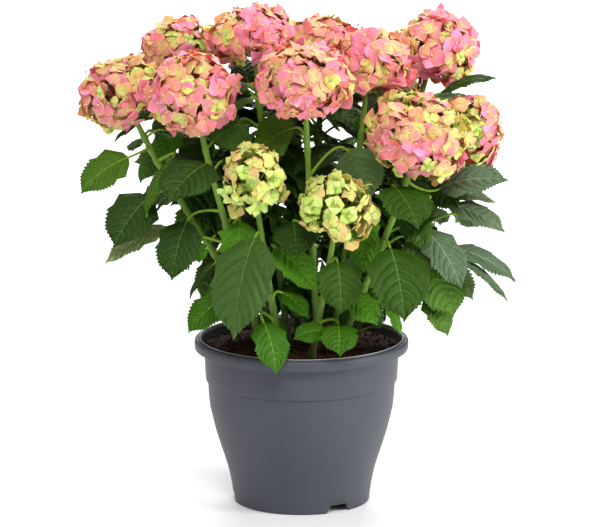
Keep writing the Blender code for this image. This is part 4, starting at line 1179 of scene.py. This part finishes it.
def make_sepals(template, centres, ways, axes, lengths, widths, shapes):
    """every sepal at once: along its way, across it, and a height that rises from the centre and turns
    down at the tip, with curled margins, a twist and a ripple; its half width is
    (t / p) ** a * ((1 - t) / (1 - p)) ** b, rounded or pointed as b is small or great"""
    along, across, side, faces, _ = template
    rise, drop, curl, twist, ripple, point = shapes.T[:, :, None]
    before = along / SEPAL_PEAK
    after = (1 - along) / (1 - SEPAL_PEAK)
    share = before ** (point * SEPAL_PEAK / (1 - SEPAL_PEAK)) * after ** point
    half = 0.5 * widths[:, None] * share
    run = lengths[:, None] * along
    height = lengths[:, None] * (rise * along - drop * along ** 2)
    wave = ripple * across ** 2 * np.sin(7 * along + 9 * twist)
    height = height + half * (curl * across ** 2 + twist * across * along + wave)
    height = height + SEPAL_HALF_THICKNESS * side
    sides = np.cross(axes, ways)
    points = centres[:, None] + run[..., None] * ways[:, None]
    points = points + (half * across)[..., None] * sides[:, None] + height[..., None] * axes[:, None]
    numbers = faces[None] + np.arange(len(centres))[:, None, None] * len(along)
    return points.reshape(-1, 3), numbers.reshape(-1, 3)


# how far a sepal rises, drops, curls, twists and ripples, and how pointed it is: the least and the most
SEPAL_SHAPES = ((0.0, 0.50), (0.10, 0.75), (-0.50, 0.30), (-0.45, 0.45), (0.08, 0.34), (0.95, 1.60))

GOLDEN_RADIANS = 2.39996


def spiral(count, lowest, chance):
    """directions over a dome down to an angle from its top, each turned on by the golden angle"""
    lowest = math.cos(math.radians(lowest))
    height = 1 - (1 - lowest) * (np.arange(count) + 0.5) / count
    turn = GOLDEN_RADIANS * np.arange(count) + chance.uniform(0, 6.28)
    flat = np.sqrt(1 - height ** 2)
    ways = np.column_stack((flat * np.cos(turn), flat * np.sin(turn), height))
    return units(ways + chance.normal(size=ways.shape) * 0.06)


def floret_layer(cane, layer, template, pick, chance):
    """one layer of a bloom's florets, four sepals each: its parts, and each floret's centre, axis and size"""
    axes = bloom_frame(cane)
    size = np.array((cane.half_width, cane.half_width, cane.half_height))
    count = int(layer.count * cane.half_width * (cane.half_width + cane.half_height) / 2 / MIDDLING)
    ways = spiral(count, LOWEST_FLORET, chance)
    swell = 1 + 0.05 * waves(ways, chance, 5, 2.5, 0.8)
    depth = chance.uniform(*layer.depths, count) * swell
    centres = np.array(cane.middle) + (ways * size * depth[:, None]) @ axes.T
    outward = units((ways / size) @ axes.T)
    outward = units(outward + chance.normal(size=outward.shape) * layer.tilt)
    first = units(np.cross(outward, chance.normal(size=outward.shape)))
    second = np.cross(outward, first)
    kinds, scale = pick(ways, chance)
    radius = chance.uniform(*layer.radii, count) * scale
    parts = []
    for quarter in range(4):
        angle = quarter * math.pi / 2 + chance.normal(size=count) * 0.10
        way = np.cos(angle)[:, None] * first + np.sin(angle)[:, None] * second
        lengths = radius * chance.uniform(*SEPAL_LENGTHS, count)
        widths = lengths * chance.uniform(*SEPAL_WIDTHS, count)
        shapes = np.column_stack([chance.uniform(low, high, count) for low, high in SEPAL_SHAPES])
        start = centres + outward * (SEPAL_STEP * (quarter % 2))
        points, faces = make_sepals(template, start, way, outward, lengths, widths, shapes)
        tones = kinds + np.where(kinds < FIRST_OLD, chance.integers(-1, 2, (count, 1)), 0)
        parts.append((points, faces, np.clip(tones, 0, len(PETAL_SHADES) - 1)[:, template[4]].ravel()))
    return parts, centres, outward, radius


def picker(groups, behind):
    """how ripe each floret is, by patches over its bloom: the tones of its bands and margin, and its size"""

    def pick(ways, chance):
        patch = waves(ways, chance, 6, 2.2, 0.7) * 0.55 + chance.normal(size=len(ways)) * 0.5 - behind
        stage = np.digitize(-patch, STAGE_STARTS)
        kinds = np.empty((len(ways), len(BANDS) + 1), int)
        for k, group in enumerate(stage):
            heart, end = groups[group][chance.integers(len(groups[group]))]
            kinds[k, :-1] = np.round(heart + (end - heart) * np.array(BANDS))
            pale = end in PINKS and chance.uniform() < PALE_SHARE
            kinds[k, -1] = chance.integers(*PALE_MARGINS) if pale else end
        return kinds, np.ones(len(ways)) if behind > 1 else STAGE_SIZES[stage]

    return pick


BLOOM_SIDES = {
    "left": ("far_left", "left_front", "left_back", "back_left", "green_left"),
    "middle": ("top_left", "front", "top_back", "back", "green_right"),
    "right": ("centre", "right_top", "right_front", "far_right", "back_right"),
}
FLORET_STALK_RADII = np.array((0.0011, 0.0008, 0.0006))
HUB_DEPTH = 0.35  # below the bloom's middle, of its half height
BEAD_RADIUS = 0.075  # of its floret's radius
BEAD_LIFT = 0.0012


def floret_stalk(hub, centre, outward):
    """a thin stalk from near the bloom's heart that comes up behind its floret"""
    path = np.array((hub * 0.45 + centre * 0.55 - outward * 0.004, centre - outward * 0.010, centre))
    return tube(path, FLORET_STALK_RADII, 3)


def dress_blooms(made):
    """sepals joined for one side of the crown; all beads and all floret stalks are a piece each"""
    chance = np.random.default_rng(SEED + 2)
    broad = sepal_template(*BROAD_SEPAL)
    small = sepal_template(*SMALL_SEPAL)
    places, sizes, stalks = [], [], []
    for side, canes in BLOOM_SIDES.items():
        parts = []
        for name in canes:
            cane = CANES[name]
            green = name.startswith("green")
            showing = picker((RIPE, BLUSHING, HALF_RIPE, UNRIPE), BEHIND[name])
            # the inner layer's florets take tones darkened as painted shade
            hidden = picker([DIM if green else SHADED] * 4, 0.0)
            layers = ((GREEN_OUTER if green else PINK_OUTER, broad, showing), (INNER, small, hidden))
            for layer in layers:
                made_parts, centres, outward, radius = floret_layer(cane, *layer, chance)
                parts += made_parts
                places.append(centres + outward * BEAD_LIFT)
                sizes.append(radius * BEAD_RADIUS)
                hub = np.array(cane.middle) - bloom_frame(cane)[:, 2] * cane.half_height * HUB_DEPTH
                stalks += [(*floret_stalk(hub, c, o), 0) for c, o in zip(centres, outward)]
        make_piece(f"blossom_{side}", parts, [made[c] for c in PETAL_SHADES],
                   [f"bloom_{name}" for name in canes])
    places, sizes = np.vstack(places), np.concatenate(sizes)
    frames = np.broadcast_to(np.eye(3), (len(places), 3, 3))
    corners, faces = many(ball(3, 5), places, frames, np.repeat(sizes[:, None], 3, axis=1))
    blooms = [f"bloom_{name}" for name in CANES]
    make_piece("floret_beads", [(corners, faces, 0)], [made["bead"]], blooms)
    make_piece("floret_stalks", stalks, [made["stem_green"]], blooms)


# ---------------------------------------------------------------- pot and compost

POT_TURNS = 180

# the pot's section as (radius, height), from the inner floor up the wall, over the rolled rim, down
# outside and in under the hub
POT_SECTION = np.array((
    (0.0001, WALL), (HUB_RADIUS - 0.002, WALL), (HUB_RADIUS + 0.0015, RING_HEIGHT + WALL),
    (FOOT_RADIUS - 0.0018, RING_HEIGHT + WALL), (0.0930, 0.026), (0.0979, 0.049), (0.1089, 0.082),
    (0.1174, 0.115), (0.1220, 0.163), (0.1289, 0.197), (0.1340, 0.212), (0.1358, 0.2195),
    (0.1361, 0.2236), (0.1365, 0.2251), (0.1374, 0.2254), (0.1382, 0.2246), (0.1386, 0.2230),
    (0.1404, 0.2236), (0.1426, 0.2235), (0.1441, 0.2222), (0.1449, 0.2200), (0.1450, 0.2170),
    (0.1448, 0.2125), (0.1442, 0.2104), (0.1434, 0.2100), (0.1426, 0.2106), (0.1424, 0.2160),
    (0.1408, 0.2190), (0.1380, 0.2196), (0.1352, 0.2150), (0.1326, 0.2080), (0.1316, 0.2050),
    (0.1314, 0.2000), (0.1309, 0.1880), (0.1303, 0.1760), (0.1298, 0.1690), (0.1294, 0.1672),
    (0.1276, 0.1660), (0.1268, 0.1650), (0.1266, 0.1600), (0.1257, 0.1450), (0.1240, 0.1300),
    (0.1205, 0.1150), (0.1165, 0.0985), (0.1115, 0.0820), (0.1055, 0.0640), (0.1008, 0.0490),
    (0.0978, 0.0370), (0.0956, 0.0260), (0.0935, 0.0120), (0.0921, 0.0010), (0.0917, 0.0),
    (0.0896, 0.0), (0.0893, 0.0010), (0.0890, RING_HEIGHT), (HUB_RADIUS + 0.003, RING_HEIGHT),
    (HUB_RADIUS, 0.0002), (HUB_RADIUS - 0.001, 0.0), (0.0001, 0.0),
))
SKIRT_RADIUS = 0.0885  # the skirt, which the notches are cut from, lies outside it


def pot_angles():
    """even turns, with the corners of each drainage notch added"""
    angles = list(np.linspace(0, 2 * math.pi, POT_TURNS, endpoint=False))
    for k in range(NOTCHES):
        middle = math.radians(NOTCH_TURN + 360 * k / NOTCHES)
        for half in (NOTCH_WIDTH / 2, NOTCH_TOP_WIDTH / 2):
            angles += [middle - half / FOOT_RADIUS, middle + half / FOOT_RADIUS]
    return np.unique(np.round(np.mod(angles, 2 * math.pi), 6))


def dress_pot(made):
    """the turned pot; within a notch the skirt's foot is raised along a trapezoid"""
    angles = pot_angles()
    corners = turned(POT_SECTION, angles)
    lift = np.zeros(len(angles))
    for k in range(NOTCHES):
        middle = math.radians(NOTCH_TURN + 360 * k / NOTCHES)
        away = np.abs(np.mod(angles - middle + math.pi, 2 * math.pi) - math.pi) * FOOT_RADIUS
        lift = np.maximum(lift, np.interp(away, (NOTCH_TOP_WIDTH / 2, NOTCH_WIDTH / 2), (NOTCH_HEIGHT, 0)))
    skirt = (POT_SECTION[:, 0] > SKIRT_RADIUS) & (POT_SECTION[:, 1] < NOTCH_HEIGHT)
    corners[skirt, :, 2] = np.maximum(corners[skirt, :, 2], lift)
    floor, underside = ((0, 0, POT_SECTION[end, 1]) for end in (0, -1))
    corners, faces = capped(corners, floor, underside)
    make_piece("pot_shell", [(corners, faces[:, ::-1], 0)], [made["pot"]], ["pot"], 35)


SOIL_RADIUS = 0.1335
SOIL_TURNS = 200
SOIL_ROUGHNESS = 0.0016
SOIL_EVEN = (0.122, SOIL_RADIUS)  # radii between which the roughness dies away
SOIL_RISE = 0.0012  # from the middle of the bed to its edge
SOIL_RISE_RADII = (0.10, 0.13)
SOIL_SECTION = (  # below its top, down the pot's wall and in over its floor
    (0.1286, 0.1965), (0.1215, 0.163), (0.1084, 0.082), (0.0974, 0.049), (0.0924, 0.026), (0.0896, 0.0149),
    (0.0700, 0.0149), (0.0665, 0.0030),
)
CRUMBS = 900
CRUMB_REACH = 0.131
CRUMB_SIZES = (0.0010, 0.0034)
CRUMB_SHAPE = (1.2, 0.8, 0.5)


def dress_compost(made):
    """a bed whose top is rough and rises a little to the wall, with loose crumbs scattered on it"""
    chance = np.random.default_rng(SEED + 3)
    radii = np.linspace(0.0, SOIL_RADIUS, 64)[1:]
    angles = np.arange(SOIL_TURNS) * 2 * math.pi / SOIL_TURNS
    top = turned(np.column_stack((radii, np.zeros(len(radii)))), angles)
    rough = waves(top.reshape(-1, 3), chance, 60, 0.030, 0.0035).reshape(top.shape[:2])
    hold = 1 - smooth_step(*SOIL_EVEN, radii)[:, None]
    rise = SOIL_RISE * smooth_step(*SOIL_RISE_RADII, radii)[:, None]
    top[..., 2] = SOIL_TOP - SOIL_RISE + SOIL_ROUGHNESS * rough * hold + rise
    grid = np.vstack((top, turned(SOIL_SECTION, angles)))
    corners, faces = capped(grid, (0, 0, SOIL_TOP - 0.001), (0, 0, SOIL_SECTION[-1][1]))
    reach = CRUMB_REACH * np.sqrt(chance.uniform(size=CRUMBS))
    turn = chance.uniform(0, 2 * math.pi, CRUMBS)
    height = SOIL_TOP + chance.uniform(-0.0005, 0.0018, CRUMBS)
    places = np.column_stack((reach * np.cos(turn), reach * np.sin(turn), height))
    frames = np.linalg.qr(chance.normal(size=(CRUMBS, 3, 3)))[0]
    sizes = chance.uniform(0.5, 1.0, (CRUMBS, 3)) * chance.uniform(*CRUMB_SIZES, (CRUMBS, 1)) * CRUMB_SHAPE
    crumbs = many(ball(3, 5), places, frames, sizes)
    make_piece("compost_bed", [(corners, faces[:, ::-1], 0), (*crumbs, 0)], [made["compost"]], ["compost"])


# ---------------------------------------------------------------- the studio

CAMERA_DISTANCE = 6.0
CAMERA_RISE = math.radians(12.2)
CAMERA_TARGET = np.array((-0.0020, 0.0, 0.326))
CAMERA_LENS = 266.9
SKY_STRENGTH = 0.42
# place, width, power and the point aimed at
Lamp = namedtuple("Lamp", "place width power aim")
LAMPS = {
    "key": Lamp((0.0, -2.6, 2.8), 1.1, 66, (0, 0, 0.38)),
    "side": Lamp((2.6, -1.0, 1.3), 1.2, 58, (0, 0, 0.38)),
    "top": Lamp((0.2, 0.4, 2.8), 1.6, 22, (0, 0, 0.38)),
    "floor_wash": Lamp((0.0, 4.2, 3.4), 3.0, 260, (0, 3.6, 0)),
}


def aimed(way):
    """the turn that points a lamp or camera along this way, kept level"""
    return Vector(way).to_track_quat("-Z", "Y").to_euler()


def make_studio():
    """a pale floor under soft lamps, and the camera"""
    scene = bpy.context.scene
    scene.view_settings.view_transform = "Standard"
    world = bpy.data.worlds.new("studio")
    world.use_nodes = True
    sky = world.node_tree.nodes["Background"].inputs
    sky["Color"].default_value = (1.0, 1.0, 1.0, 1.0)
    sky["Strength"].default_value = SKY_STRENGTH
    scene.world = world
    bpy.ops.mesh.primitive_circle_add(vertices=96, radius=16.0, fill_type="NGON",
                                      location=(0, 0, -0.0005))
    floor = bpy.context.object
    floor.name = "floor"
    paint = Paint("floor_paper", Base_Color=(0.93, 0.93, 0.93, 1.0), Roughness=0.9, Specular_IOR_Level=0.1)
    floor.data.materials.append(paint.material)
    for name, lamp in LAMPS.items():
        light = bpy.data.lights.new(name, "AREA")
        light.size = lamp.width
        light.energy = lamp.power
        stand = bpy.data.objects.new(name, light)
        stand.location = lamp.place
        stand.rotation_euler = aimed(np.array(lamp.aim) - np.array(lamp.place))
        scene.collection.objects.link(stand)
    camera = bpy.data.cameras.new("camera")
    camera.lens = CAMERA_LENS
    camera.sensor_width = 36.0
    camera.clip_end = 60.0
    eye = bpy.data.objects.new("camera", camera)
    back = np.array((0, -math.cos(CAMERA_RISE), math.sin(CAMERA_RISE)))
    eye.location = CAMERA_TARGET + CAMERA_DISTANCE * back
    eye.rotation_euler = aimed(-back)
    scene.collection.objects.link(eye)
    scene.camera = eye


def main():
    """grows the crown, dresses the pot, compost, canes, leaves and blooms, and sets up the studio"""
    made = make_materials()
    crown = Crown()
    grow_leaves(crown)
    more_leaves(crown)
    leaves = crown.leaves
    dress_pot(made)
    dress_compost(made)
    dress_canes(leaves, made)
    dress_leaves(leaves, made)
    dress_blooms(made)
    make_studio()


main()
